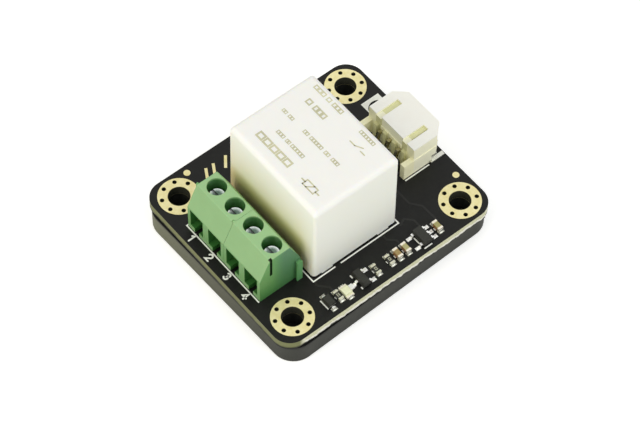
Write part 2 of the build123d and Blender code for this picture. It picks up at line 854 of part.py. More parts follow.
def solder_joints():
    """Solder round every pin that passes through the board."""
    joints = []
    for u in (-pin_u, pin_u):
        x, y = relay_x + u, relay_y + coil_pin_v
        joints.append(solder_cone(x, y) - rod(x, y, 0, board_top, coil_pin_radius + snug_gap))
        joints.append(solder_joint(x, relay_y + contact_strip_v(), blade_width / 2 + snug_gap,
                                   blade_thickness / 2 + snug_gap))
    joints.append(solder_joint(relay_x, relay_y + yoke_rear + blade_thickness / 2,
                               blade_width / 2 + snug_gap, blade_thickness / 2 + snug_gap))
    for x, y, _ in terminal_pin_places():
        joints.append(solder_joint(x, y, leg_thickness / 2 + snug_gap, leg_width / 2 + snug_gap))
    return Compound([joint.solid() for joint in joints])


def all_nodes():
    """Every piece by its node name."""
    nodes = {}
    nodes["circuit_board"] = circuit_board(relay_pin_places() + terminal_pin_places())
    nodes["mounting_pads"] = Compound([mounting_pad(x, y).solid() for x, y in mounting_places()])
    nodes["bottom_cover"] = bottom_cover()
    nodes["relay_case"] = relay_case()
    nodes["relay_base"] = relay_base()
    nodes["coil_bobbin"] = coil_bobbin()
    nodes["coil_winding"] = coil_winding()
    nodes["iron_core"] = iron_core()
    nodes["yoke"] = yoke()
    nodes["armature"] = armature()
    nodes["contact_leaf"] = contact_leaf()
    nodes["moving_rivet"] = moving_rivet()
    nodes["closed_contact"] = contact_strip(-1, strip_top)
    nodes["closed_rivet"] = fixed_rivet(closed_rivet_bottom)
    nodes["open_contact"] = contact_strip(1, open_rivet_top - fixed_rivet_height)
    nodes["open_rivet"] = fixed_rivet(open_rivet_top - fixed_rivet_height)
    nodes["common_pin"] = common_pin()
    nodes["coil_pin_1"] = coil_pin(-1)
    nodes["coil_pin_2"] = coil_pin(1)
    way = 0
    for number, middle in enumerate(block_middles(), 1):
        nodes[f"terminal_housing_{number}"] = terminal_housing(middle)
        for y in way_middles(middle):
            way += 1
            nodes[f"terminal_screw_{way}"] = terminal_screw(y)
            nodes[f"wire_clamp_{way}"] = wire_clamp(y)
            nodes[f"terminal_contact_{way}"] = terminal_contact(y)
    nodes["connector_housing"] = connector_housing()
    for number, y in enumerate(connector_pin_middles(), 1):
        nodes[f"connector_contact_{number}"] = connector_contact(y)
    nodes["solder_tab_1"] = solder_tab(1)
    nodes["solder_tab_2"] = solder_tab(-1)
    for number, x in enumerate(resistor_places, 1):
        nodes[f"resistor_{number}"] = chip(x, resistor_height)
    for number, x in enumerate(capacitor_places, 1):
        nodes[f"capacitor_{number}"] = chip(x, capacitor_height)
    nodes["indicator_led"] = indicator_led()
    nodes["diode"] = diode()
    nodes["transistor"] = leaded_package(transistor_place, transistor_width, 1, 2)
    nodes["regulator"] = leaded_package(regulator_place, regulator_width, 2, 3)
    nodes["solder_joints"] = solder_joints()
    return nodes


os.makedirs("parts", exist_ok=True)
for name, shape in all_nodes().items():
    export_step(shape, f"parts/{name}.step")
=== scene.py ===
"""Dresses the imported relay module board: finishes, print, traces, solder and a plain stage."""

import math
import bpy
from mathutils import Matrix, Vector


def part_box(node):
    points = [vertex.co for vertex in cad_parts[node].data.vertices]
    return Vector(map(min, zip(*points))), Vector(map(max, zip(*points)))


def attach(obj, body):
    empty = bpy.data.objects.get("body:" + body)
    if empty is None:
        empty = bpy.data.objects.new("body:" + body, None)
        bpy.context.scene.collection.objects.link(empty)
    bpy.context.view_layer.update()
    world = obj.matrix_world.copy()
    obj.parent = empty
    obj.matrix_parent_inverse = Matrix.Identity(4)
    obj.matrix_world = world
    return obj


bl_info = {
    "name": "Relay Module Board Looks",
    "version": (1, 0, 0),
    "blender": (4, 5, 0),
    "location": "View3D > Sidebar > Relay Board",
    "description": "Finishes and fine detail for a relay module board on its insulating cover",
    "category": "Object",
}

import bmesh
import bpy
import numpy as np
from bpy.props import FloatProperty, FloatVectorProperty, PointerProperty
from bpy.types import Node, NodeSocket, Operator, Panel, PropertyGroup, Scene
from mathutils import Matrix, Vector

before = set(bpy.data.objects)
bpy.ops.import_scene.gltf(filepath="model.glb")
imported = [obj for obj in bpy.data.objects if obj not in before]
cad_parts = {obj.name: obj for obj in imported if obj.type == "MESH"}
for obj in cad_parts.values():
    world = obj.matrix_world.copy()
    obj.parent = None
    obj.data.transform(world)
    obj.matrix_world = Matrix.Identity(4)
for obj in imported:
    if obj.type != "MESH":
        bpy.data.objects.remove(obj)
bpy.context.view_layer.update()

MM = 0.001
ROOT_BODY = "module"
RESISTORS = ("resistor_1", "resistor_2", "resistor_3")
CAPACITORS = ("capacitor_1", "capacitor_2", "capacitor_3")
ROW_CHIPS = RESISTORS + CAPACITORS


# Geometry: sections carried along paths, in millimetres


def corners(node):
    """The lowest and highest corner of a node's box, in millimetres."""
    low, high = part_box(node)
    return np.array(low) / MM, np.array(high) / MM


def centre(node):
    """The middle of a node's box, in millimetres."""
    return sum(corners(node)) / 2


def sweep(sections, closed_path=False):
    """Joins closed cross-sections, an array of section by point by axis, into one closed skin.

    Point j of section i joins point j of section i + 1, and an open path gets two end caps."""
    count, size, _ = sections.shape
    i = np.arange(count if closed_path else count - 1)[:, None]
    j = np.arange(size)[None, :]
    after_i = (i + 1) % count
    after_j = (j + 1) % size
    quads = np.stack([i * size + j, after_i * size + j, after_i * size + after_j, i * size + after_j],
                     axis=-1).reshape(-1, 4)
    faces = quads.tolist()
    if not closed_path:
        faces.append(list(range(size))[::-1])
        faces.append(list(range((count - 1) * size, count * size)))
    return sections.reshape(-1, 3), faces


def unit(steps):
    """Steps in plan, cut to a length of one."""
    return steps / np.linalg.norm(steps, axis=-1, keepdims=True)


def ribbon(path, width, z0, z1, closed=False, round_ends=False):
    """A flat band along a plan path: at each point the band is offset to both sides by half its
    width along the mitred normal, and stands from z0 to z1. A round end adds points beyond the
    path at which the width shrinks as a half circle does."""
    path = np.array(path, float)
    widths = np.full(len(path), float(width))
    if round_ends:
        angle = np.linspace(0, np.pi / 2, 6)[1:]
        reach = np.sin(angle)[:, None] * width / 2
        shrink = np.maximum(np.cos(angle), 0.02) * width
        path = np.vstack([path[0] + unit(path[0] - path[1]) * reach[::-1], path,
                          path[-1] + unit(path[-1] - path[-2]) * reach])
        widths = np.concatenate([shrink[::-1], widths, shrink])
    if closed:
        before = path - np.roll(path, 1, axis=0)
        after = np.roll(path, -1, axis=0) - path
    else:
        steps = np.diff(path, axis=0)
        before = np.vstack([steps[:1], steps])
        after = np.vstack([steps, steps[-1:]])
    mean = unit(unit(before) + unit(after))
    normal = np.stack([-mean[:, 1], mean[:, 0]], axis=1)
    stretch = 1 / np.maximum((mean * unit(after)).sum(1), 0.5)
    offset = normal * (widths / 2 * stretch)[:, None]
    rings = [np.column_stack([path + side * offset, np.full(len(path), z)])
             for side, z in ((1, z0), (1, z1), (-1, z1), (-1, z0))]
    return sweep(np.stack(rings, axis=1), closed)


def revolve(profile, x, y, steps=32):
    """Turns a closed profile of (radius, z) points about the upright line through x, y."""
    profile = np.array(profile, float)
    angle = np.linspace(0, 2 * np.pi, steps, endpoint=False)[:, None]
    sections = np.stack([x + profile[:, 0] * np.cos(angle), y + profile[:, 0] * np.sin(angle),
                         np.broadcast_to(profile[:, 1], (steps, len(profile)))], axis=-1)
    return sweep(sections, True)


def arc(x, y, radius, start, end, steps=12):
    """Points of a circle from one angle to another, in degrees."""
    angle = np.radians(np.linspace(start, end, steps))
    return np.column_stack([x + radius * np.cos(angle), y + radius * np.sin(angle)])


def frame_band(x0, x1, y0, y1, stroke, z0, z1):
    """An open rectangular frame, as a closed ribbon."""
    return ribbon([(x0, y0), (x1, y0), (x1, y1), (x0, y1)], stroke, z0, z1, closed=True)


def fillet_skin(x, y, across, reach, height, width, z0):
    """A concave meniscus of solder against a chip's end, standing on its pad.

    Its profile falls from height at the chip to nothing at reach as the square of what is left,
    and both shrink towards the two ends of its width by the fourth power."""
    fall = np.linspace(0, 1, 7)
    side = np.linspace(-1, 1, 9)[:, None]
    size = np.sqrt(np.maximum(1 - side ** 4, 0.03))
    away = np.concatenate([fall, [1.0, 0.0]]) * reach * size
    up = np.concatenate([(1 - fall) ** 2 * height + 0.02, [0.0, 0.0]]) * size
    along = np.broadcast_to(side * width / 2, away.shape)
    plan = [x + away, y + along] if across == "x" else [x + along, y + away]
    return sweep(np.stack([*plan, z0 + up], axis=-1))


def link_object(name, data):
    """Puts a mesh, a lamp or a camera into the scene."""
    made = bpy.data.objects.new(name, data)
    bpy.context.scene.collection.objects.link(made)
    return made


def add_piece(name, skins, finish, smooth=False):
    """Makes one object from skins in millimetres, with its faces outwards, and lets it ride."""
    points = []
    faces = []
    count = 0
    for skin_points, skin_faces in skins:
        points.append(skin_points)
        faces += [[index + count for index in face] for face in skin_faces]
        count += len(skin_points)
    mesh = bpy.data.meshes.new(name)
    mesh.from_pydata((np.vstack(points) * MM).tolist(), [], faces)
    work = bmesh.new()
    work.from_mesh(mesh)
    bmesh.ops.remove_doubles(work, verts=work.verts, dist=1e-7)
    bmesh.ops.recalc_face_normals(work, faces=work.faces)
    work.to_mesh(mesh)
    work.free()
    if smooth:
        mesh.shade_smooth()
    mesh.materials.append(finish)
    piece = link_object(name, mesh)
    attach(piece, ROOT_BODY)


def dress(finish, *starts):
    """Gives one finish to every CAD node whose name starts with one of the words."""
    for name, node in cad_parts.items():
        if name.startswith(starts):
            node.data.materials.clear()
            node.data.materials.append(finish)


# Places, in millimetres from the middle of the mounting holes

BOARD_LOW = corners("circuit_board")[0]
BOARD_TOP = corners("circuit_board")[1][2]
BOARD_MIDDLE = centre("circuit_board")[2]
HALF_BOARD = BOARD_TOP - BOARD_MIDDLE
RING_RADIUS = 3.05
HOLE_X, HOLE_Y = corners("mounting_pads")[1][:2] - RING_RADIUS
RELAY_LOW, RELAY_HIGH = corners("relay_case")
RELAY_TOP = RELAY_HIGH[2]
TERMINAL_FRONT = corners("terminal_housing_2")[0][0]
TERMINAL_TOP = corners("terminal_housing_1")[1][2]
SCREW_X = centre("terminal_screw_1")[0]
SCREW_TOP = corners("terminal_screw_1")[1][2]
WAY_Y = [centre(f"terminal_screw_{i}")[1] for i in (1, 2, 3, 4)]
WAY_PITCH = WAY_Y[0] - WAY_Y[1]
TERMINAL_END = 2 * WAY_PITCH
WELL_RADIUS = 1.42
WINDOW_TOP = BOARD_TOP + 4.68
KEY_X = TERMINAL_FRONT + 1.96
CONNECTOR_LOW, CONNECTOR_HIGH = corners("connector_housing")
CONNECTOR_REAR = CONNECTOR_LOW[0] + 1.75
SLOT_Y = 2.8
PAD_TOP = BOARD_TOP + 0.04
LEAD_PAD_TOP = BOARD_TOP + 0.05
CHIP_ROW_Y = centre("resistor_1")[1]


# Materials, with their patterns in millimetres

EDGE_RAMP = 0.001


def linear(colour):
    """Turns an sRGB hex colour into linear red, green and blue."""
    values = np.array([int(colour[i:i + 2], 16) for i in (1, 3, 5)]) / 255
    curve = np.where(values <= 0.04045, values / 12.92, ((values + 0.055) / 1.055) ** 2.4)
    return tuple(float(value) for value in curve)


def shade(colour, share):
    """A colour made darker or lighter by a share of itself."""
    return [min(value * share, 1.0) for value in colour]


def over(value, limit):
    """A ramp so short that it is an edge: 1 where the value is over the limit."""
    return value, limit, limit + EDGE_RAMP


def under(value, limit):
    """A ramp so short that it is an edge: 1 where the value is under the limit."""
    return value, limit, limit - EDGE_RAMP


class Nodes:
    """The node tree of a material or a world."""

    def __init__(self, owner):
        owner.use_nodes = True
        self.tree = owner.node_tree
        self.tree.nodes.clear()

    def node(self, kind, inputs=None, **settings):
        """Adds a node with its settings and links."""
        made = self.tree.nodes.new("ShaderNode" + kind)
        for name, value in settings.items():
            setattr(made, name, value)
        self.feed(made, inputs or {})
        return made

    def feed(self, node, inputs):
        """Sets or links a node's inputs. A node given as an input stands for the output it uses."""
        for name, value in inputs.items():
            socket = node.inputs[name]
            if isinstance(value, Node):
                value = next(output for output in value.outputs if output.enabled)
            if isinstance(value, NodeSocket):
                self.tree.links.new(value, socket)
            elif socket.type == "RGBA":
                socket.default_value = (*value, 1.0)
            else:
                socket.default_value = value

    def reckon(self, operation, *values):
        """Adds a node that reckons with numbers and with what other nodes give."""
        return self.node("Math", dict(enumerate(values)), operation=operation)


class Finish(Nodes):
    """A material with one surface shader, whose patterns read Object coordinates in millimetres."""

    def __init__(self, name, **sockets):
        self.material = bpy.data.materials.new(name)
        super().__init__(self.material)
        self.shader = self.node("BsdfPrincipled")
        self.node("OutputMaterial", {"Surface": self.shader})
        self.set(**sockets)
        coordinates = self.node("TexCoord").outputs["Object"]
        self.place = self.node("VectorMath", {0: coordinates, "Scale": 1 / MM}, operation="SCALE")
        self.axes = self.node("SeparateXYZ", {0: self.place}).outputs

    def set(self, **sockets):
        """Sets or links sockets of the shader, whose spaces are given as underscores."""
        self.feed(self.shader, {name.replace("_", " "): value for name, value in sockets.items()})

    def noise(self, size, detail, spread=0.5, place=None):
        """Noise of the given size. The spread is how much of it goes to its finer details."""
        return self.node("TexNoise", {"Vector": place or self.place, "Scale": 1 / size,
                                      "Detail": detail, "Roughness": spread})

    def mottle(self, size, low=0.0, high=1.0):
        """A number that wanders from low to high in patches of the given size."""
        return self.node("MapRange", {"Value": self.noise(size, 4.0, 0.6), 1: 0.3, 2: 0.7, 3: low, 4: high})

    def away(self, value, middle=0.0):
        """How far a value is from the middle, to either side."""
        return self.reckon("ABSOLUTE", self.reckon("SUBTRACT", value, middle))

    def plan_distance(self, across, along):
        """How long a step in plan is that goes so far across and along."""
        step = self.node("CombineXYZ", {0: across, 1: along})
        return self.node("VectorMath", {0: step}, operation="LENGTH")

    def within(self, *limits):
        """A mask, the product of its limits. A limit is a share from 0 to 1, or a ramp: a value,
        where the ramp is 0 and where it is 1."""
        shares = [self.node("MapRange", dict(enumerate(limit))) if isinstance(limit, tuple) else limit
                  for limit in limits]
        mask = shares[0]
        for share in shares[1:]:
            mask = self.reckon("MULTIPLY", mask, share)
        return mask

    def layer(self, colour, *layers):
        """A colour with others laid over it, each given with the limits within which it shows."""
        for upper, *limits in layers:
            colour = self.node("Mix", {0: self.within(*limits), 6: colour, 7: upper}, data_type="RGBA")
        return colour

    def wander(self, colour, size, low, high):
        """A colour that wanders between two shades of itself in patches of the given size."""
        return self.layer(shade(colour, low), (shade(colour, high), self.mottle(size)))

    def close(self, depth, grain=None, detail=3.0, heights=None, **sockets):
        """Raises the surface by heights, or by a grain of the given size, links the shader's
        sockets and gives the material."""
        if grain:
            heights = self.noise(grain, detail)
        self.set(Normal=self.node("Bump", {"Height": heights, "Distance": depth * MM}), **sockets)
        return self.material


def moulded_plastic(name, colour, roughness, grain, depth, wander=0.06, **sockets):
    """A moulded or printed layer: an even colour that wanders a little, over a fine grain."""
    finish = Finish(name, Roughness=roughness, **sockets)
    return finish.close(depth, grain, Base_Color=finish.wander(colour, 3.0, 1 - wander, 1 + wander))


def plated_metal(name, colour, roughness, grain, depth, metallic=1.0):
    """A plated metal: a bright coat whose sheen wanders, over fine scratches.

    A frosted coat, such as reflowed tin, scatters part of the light and is less metallic."""
    finish = Finish(name, Base_Color=colour, Metallic=metallic)
    return finish.close(depth, grain, 4.0, Roughness=finish.mottle(0.6, roughness * 0.75, roughness * 1.3))


def dress_metals(*rows):
    """Plates CAD nodes: each row has the values of one plated metal, and then its nodes."""
    for name, colour, roughness, grain, depth, *starts in rows:
        dress(plated_metal(name, colour, roughness, grain, depth), *starts)


def glass_layers(finish, detail, strand, flatness, strand_spread, tear, rise, tear_spread):
    """Noise of a strand's size, drawn out flat as the glass lies, and the height of a point raised
    by noise of a tear's size, so that the layers end in a ragged line."""
    flat = finish.node("Mapping", {"Vector": finish.place, "Scale": (1.0, 1.0, flatness)})
    strands = finish.noise(strand, detail, strand_spread, flat)
    tears = finish.noise(tear, detail, tear_spread)
    return strands, finish.reckon("MULTIPLY_ADD", tears, rise, finish.axes[2])


def laminate_board(looks):
    """Glass-epoxy laminate, routed, with matte black solder mask on both faces.

    The mask is dull and nearly black. The cut side shows pale resin with its glass layers, and
    below a ragged level the dark colour of the lower mask, partly painted shadow of the gap under
    the board. The side by the screw terminals has painted shade, a darker olive. The small plated
    holes have painted shade inside."""
    finish = Finish("FR4 laminate with matte black solder mask", Specular_IOR_Level=0.25)
    x, y, z = finish.axes
    strands, level = glass_layers(finish, detail=4.0, strand=0.5, flatness=12.0, strand_spread=0.7,
                                  tear=0.9, rise=0.5, tear_spread=0.5)
    from_hole = finish.plan_distance(finish.away(finish.away(x), HOLE_X),
                                     finish.away(finish.away(y), HOLE_Y))
    resin = finish.layer(looks.resin, (looks.glass, strands))
    # Painted shade: the side by the screw terminals is painted a darker olive than the rest of the cut
    # side.
    olive = finish.layer(looks.side_shade_dark, (looks.side_shade, strands))
    routed = finish.layer(resin, (olive, (x, BOARD_LOW[0] + 3, BOARD_LOW[0] + 2.3)))
    side = finish.layer(
        looks.mask,
        # Below a ragged level the cut side keeps the mask colour: partly the lower mask, partly painted
        # shadow of the gap under the board.
        (routed, (level, BOARD_LOW[2] + 0.45, BOARD_LOW[2] + 0.85)),
        # Painted shade inside the mounting holes.
        (looks.bore_shade, under(from_hole, RING_RADIUS + 0.05)))
    mask = finish.layer(looks.mask, (looks.mask_light, finish.mottle(1.4)))
    on_face = over(finish.away(z, BOARD_MIDDLE), HALF_BOARD - looks.mask_thickness / MM)
    return finish.close(0.006, grain=0.16, Base_Color=finish.layer(side, (mask, on_face)),
                        Roughness=finish.mottle(2.2, 0.42, 0.55))


def snapped_laminate(looks):
    """Glass-epoxy laminate, snapped: resin above, a white line of broken glass below it, and a dark
    foot, partly the lower mask and partly painted shadow of the gap under the board."""
    finish = Finish("Snapped glass-epoxy laminate", Roughness=0.75)
    strands, level = glass_layers(finish, detail=5.0, strand=0.35, flatness=7.0, strand_spread=0.75,
                                  tear=1.1, rise=0.7, tear_spread=0.7)
    colour = finish.layer(
        looks.resin,
        (looks.glass, (strands, 0.42, 0.62), 0.75),
        (looks.glass, (level, BOARD_TOP - 0.27, BOARD_TOP - 0.37)),
        # Partly the lower mask, partly painted shadow of the gap under the board.
        (looks.mask_and_shadow, (level, BOARD_TOP - 0.74, BOARD_TOP - 0.82)))
    return finish.close(0.08, heights=strands, Base_Color=colour)


def immersion_gold(looks):
    """Copper with nickel and immersion gold: pale, soft and satin, with painted shade inside the holes."""
    finish = Finish("Immersion gold on copper")
    on_face = finish.within(over(finish.away(finish.axes[2], BOARD_MIDDLE), HALF_BOARD + 0.02))
    gold = finish.layer(looks.gold, (looks.gold_light, finish.mottle(0.8)))
    return finish.close(0.004, grain=0.08, Base_Color=finish.layer(looks.bore_shade, (gold, on_face)),
                        Metallic=finish.within(on_face, 0.4), Roughness=finish.mottle(0.5, 0.38, 0.55))


def moulded_cover(looks):
    """ABS, dark grey, moulded: satin walls with fine grain, and painted shadow of the board on the rim
    under it.

    The wall by the screw terminals has a painted sheen, paler towards its far end."""
    finish = Finish("Moulded ABS, dark grey", Roughness=0.48, Specular_IOR_Level=0.36)
    x, y, z = finish.axes
    # Painted sheen: the wall by the terminals grows paler towards its far end, standing for the reflection
    # of the white surroundings.
    painted_sheen = finish.layer(looks.sheen_start, (looks.paler_tone, (y, -13, 13)))
    colour = finish.layer(
        finish.wander(looks.plastic, 3.0, 0.93, 1.07),
        (painted_sheen, (x, BOARD_LOW[0] + 1.8, BOARD_LOW[0] + 0.4)),
        # Painted shadow of the board: the rim under it is painted near black.
        (looks.rim, (z, 3.2, 3.6)))
    return finish.close(0.008, grain=looks.grain / MM, Base_Color=colour)


def moulded_case(looks):
    """Polyester, ivory, moulded thin, a little translucent: soft and nearly white on top. The walls
    have painted shade, a little darker and yellower than the top, and the wall by the screw terminals
    has more painted shade, yellow and then olive-brown towards its foot."""
    finish = Finish("Moulded polyester, ivory", Roughness=0.5, Specular_IOR_Level=0.3,
                    Subsurface_Weight=0.25, Subsurface_Scale=0.8 * MM,
                    Subsurface_Radius=(1.0, 0.8, 0.5))
    x, y, z = finish.axes
    left, near, _ = RELAY_LOW
    # Painted shade on the wall by the terminals: yellow, and olive-brown towards its foot.
    wall_shade_tint = finish.layer(looks.wall_shade, (looks.foot, (z, RELAY_TOP - 7.5, RELAY_TOP - 10)))
    colour = finish.layer(
        finish.wander(looks.case, 3.0, 0.985, 1.0),
        # Painted shade: the walls are a little darker and yellower than the top.
        (looks.wall, (z, RELAY_TOP, RELAY_TOP - 1.2)),
        (wall_shade_tint, (x, left + 0.4, left + 0.02), (y, near, near + 3), (z, RELAY_TOP - 1, RELAY_TOP - 9)))
    return finish.close(0.0035, grain=0.07, Base_Color=colour)


def wound_wire(looks):
    """Enamelled copper wire in close turns: a band pattern up the coil."""
    finish = Finish("Enamelled copper wire, wound", Metallic=0.8, Base_Color=looks.wire, Roughness=0.3)
    bands = math.pi / 10 / (looks.wire_width / MM)
    turns = finish.node("TexWave", {"Vector": finish.place, "Scale": bands}, bands_direction="Z")
    return finish.close(0.05, heights=turns.outputs["Fac"])


def way_radius(finish):
    """How far a point is in plan from the axis of its own screw, and how far in X alone. The row of
    screws is folded onto one pitch."""
    folded = finish.reckon("WRAP", finish.axes[1], 0.0, WAY_PITCH)
    reach = finish.away(finish.axes[0], SCREW_X)
    return finish.plan_distance(reach, finish.away(folded, WAY_PITCH / 2)), reach


def turned_screw(looks):
    """Nickel-plated steel, faced on a lathe, with faint rings about each screw's own axis and a dished
    face that catches the light along the far rim. The middle of each head has a painted reflection,
    darker and greener, and the slot has painted shade.

    The dish rises as the cube of the distance from the middle; heights are in millimetres."""
    finish = Finish("Nickel-plated turned steel", Metallic=1.0)
    radius, reach = way_radius(finish)
    ring_pitch, ring_height, dish_height = 0.13, 0.0014, 0.22
    rings = finish.reckon("SINE", finish.reckon("MULTIPLY", radius, 2 * math.pi / ring_pitch))
    cube = finish.reckon("POWER", radius, 3.0)
    dish = finish.reckon("MULTIPLY", cube, dish_height / WELL_RADIUS ** 3)
    heights = finish.reckon("MULTIPLY_ADD", rings, ring_height, dish)
    # Painted shade in the slot.
    slot_shade = under(finish.axes[2], SCREW_TOP - 0.06), under(reach, 0.215)
    # Painted reflection: the middle of each head is darker and greener than its edge.
    colour = finish.layer(looks.screw_reflection, (looks.screw, (radius, 0.6, 1.0)),
                          (shade(looks.screw, 0.4), *slot_shade))
    return finish.close(1.0, heights=heights, Base_Color=colour, Roughness=finish.mottle(0.5, 0.1, 0.2))


def moulded_terminal(looks):
    """Polyamide, green, moulded: even and soft in sheen, with painted light on top and behind the
    ridge, and painted shade inside the wells and the wire windows, on the pillars between the windows,
    and on the ends, deeper towards their rear and their foot.

    The key slot in the free end has painted shade inside."""
    finish = Finish("Moulded polyamide, green", Roughness=0.42, Subsurface_Weight=0.08,
                    Subsurface_Scale=0.4 * MM)
    x, y, z = finish.axes
    outward = finish.away(y)
    front, top, end = TERMINAL_FRONT, TERMINAL_TOP, TERMINAL_END
    # Painted shade inside the wells and the wire windows.
    well_shade = under(way_radius(finish)[0], WELL_RADIUS + 0.02), (z, top, top - 0.5)
    window_shade = over(x, front + 0.04), under(z, WINDOW_TOP), under(outward, end - 0.1)
    # Painted shade inside the key slot.
    key_shade = under(finish.away(x, KEY_X), 0.24), under(finish.away(y, 0.22 - end), 0.19)
    # Painted shade on the ends: darker towards their rear and towards the foot.
    ends = finish.layer(
        looks.end,
        (looks.end_rear_shade, (x, front + 2.2, front + 4.2)),
        (looks.shade_green, (z, top, BOARD_TOP), 0.75),
        (looks.rib, over(outward, end + 0.2)))
    colour = finish.layer(
        finish.wander(looks.plastic, 3.0, 0.97, 1.03),
        # Painted light behind the ridge and on the top.
        (looks.back, over(x, front + 1.8)),
        (looks.top, over(z, top - 0.04)),
        # Painted shade on the pillars between the windows.
        (looks.front, under(x, front + 0.04)),
        (ends, over(outward, end - 0.06)),
        (looks.shade_green, *well_shade),
        (looks.shade_green, *window_shade),
        (looks.slot, *key_shade))
    return finish.close(0.005, grain=0.08, Base_Color=colour)


def moulded_connector(looks):
    """Polyamide, ivory, moulded, a little translucent. Its colour carries painted shade: the sides and
    the front of the roof are yellower than the roof, and the slots and the space between the ribs
    yellower still."""
    finish = Finish("Moulded polyamide, ivory", Roughness=0.42, Subsurface_Weight=0.02,
                    Subsurface_Scale=0.6 * MM, Subsurface_Radius=(1.0, 0.85, 0.5))
    x, y, z = finish.axes
    outward = finish.away(y)
    rear, top = CONNECTOR_REAR, CONNECTOR_HIGH[2]
    roof_side_shade = (z, top - 0.02, top - 0.3)
    slot_shade = under(finish.away(outward, SLOT_Y), 0.53), under(z, top - 0.38)
    rib_gap_shade = (x, rear, rear - 0.12), under(outward, CONNECTOR_HIGH[1] - 0.9), under(z, BOARD_TOP + 3.7)
    # Painted shade: the sides, the front of the roof, the slots and the space between the ribs are yellower
    # than the roof.
    colour = finish.layer(
        finish.wander(looks.plastic, 2.5, 0.98, 1.02),
        (looks.side, roof_side_shade),
        (looks.lip, (x, rear + 0.1, rear + 0.02), roof_side_shade),
        (looks.recess_shade, *slot_shade),
        (looks.recess_shade, *rib_gap_shade))
    return finish.close(0.004, grain=0.08, Base_Color=colour)


def tinned_chip(name, node, axis, half_body, colour, end_colour, metallic=1.0, roughness=(0.6, 0.28),
                specks=(0.15, 0.7), grain=0.05, depth=0.008, flank_shade=None):
    """A transfer-moulded epoxy package with bright tinned leads, split by the distance from its
    middle along an axis. The defaults are those of dull, speckled epoxy.

    The two values of roughness are those of the body and of its ends. The specks have a size, and
    the share of the colour that is left where they are darkest."""
    finish = Finish(name)
    on_end = finish.within(over(finish.away(finish.axes[axis], centre(node)[axis]), half_body))
    body = finish.wander(colour, *specks, 1.0)
    # Painted shade: the flanks take a darker, browner colour than the top.
    if flank_shade is not None:
        body = finish.layer(flank_shade, (body, over(finish.axes[2], corners(node)[1][2] - 0.06)))
    sheen = finish.node("MapRange", {"Value": on_end, 3: roughness[0], 4: roughness[1]})
    return finish.close(depth, grain=grain, detail=2.0, Metallic=finish.within(on_end, metallic),
                        Roughness=sheen, Base_Color=finish.layer(body, (end_colour, on_end)))


def capped_chip(name, node, colour, cap_colour, cap=0.34, roughness=0.35, metallic=0.6, flank_shade=None):
    """A ceramic chip: a glazed body between two frosted tinned end caps, which take up the ends of
    its length along Y. Its flanks may carry a painted shade of their own."""
    low, high = corners(node)
    return tinned_chip(name, node, 1, (high[1] - low[1]) / 2 - cap, colour, cap_colour, metallic,
                       (roughness, 0.25), (0.12, 0.85), grain=0.09, depth=0.006, flank_shade=flank_shade)


# Sizes and colours that a user would change


def tint(name, description, colour):
    """A colour that a user can change, given by its hex value."""
    return FloatVectorProperty(name=name, description=description, subtype="COLOR", size=3,
                               min=0.0, max=1.0, default=linear(colour))


def amount(name, description, default, unit="NONE", **limits):
    """A number that a user can change."""
    return FloatProperty(name=name, description=description, default=default, unit=unit, **limits)


def span(name, description, millimetres):
    """A length that a user can change."""
    return amount(name, description, millimetres * MM, "LENGTH", min=0.0, precision=6)


def turn(name, description, degrees):
    """An angle that a user can change."""
    return amount(name, description, math.radians(degrees), "ROTATION")


class BoardLooks(PropertyGroup):
    """Finish of the board, its pads and its print."""
    mask: tint("Mask", "Matte black solder mask", "#0D0D0B")
    mask_light: tint("Mask, worn", "Solder mask where it is a little greyer", "#141512")
    over_copper: tint("Mask over copper", "Solder mask where copper lies under it", "#171814")
    resin: tint("Resin", "Cut side of the laminate", "#C6C695")
    glass: tint("Glass", "Glass strands in the cut side", "#F4F2E6")
    # Partly the lower mask, partly painted shadow of the gap under the board.
    mask_and_shadow: tint("Shadowed foot", "Dark foot of the snapped side", "#26261E")
    # The next two are painted shade on the cut side by the terminals.
    side_shade: tint("Shade", "Olive of the routed side by the terminals", "#83865A")
    side_shade_dark: tint("Stain, dark", "Darker streaks of that side", "#696B40")
    gold: tint("Gold", "Immersion gold", "#E8DC9A")
    gold_light: tint("Gold, light", "Brighter patches of the gold", "#F6EDBC")
    # Painted shade inside the holes.
    bore_shade: tint("Bore", "Inside of the mounting holes", "#38382E")
    ink: tint("Ink", "White print", "#F8FAF1")
    mask_thickness: span("Mask thickness", "How far the mask shows on the cut side", 0.05)
    ink_width: span("Ink width", "Width of the printed outlines", 0.2)
    number_height: span("Number height", "Height of the printed way numbers", 1.1)
    print_height: span("Print height", "How proud the print stands", 0.02)


class CoverLooks(PropertyGroup):
    """Finish of the insulating cover."""
    plastic: tint("Plastic", "Dark grey moulded plastic", "#2D2E28")
    # The next two are a painted sheen on the wall by the terminals, far end and near end.
    paler_tone: tint("Sheen", "Paler wall by the terminals, far end", "#6B6C56")
    sheen_start: tint("Worn, dark", "Near end of that wall", "#34352F")
    # Painted shadow of the board on the rim.
    rim: tint("Rim", "Darker rim under the board", "#0D0D0B")
    grain: span("Grain", "Size of the mould's texture", 0.12)


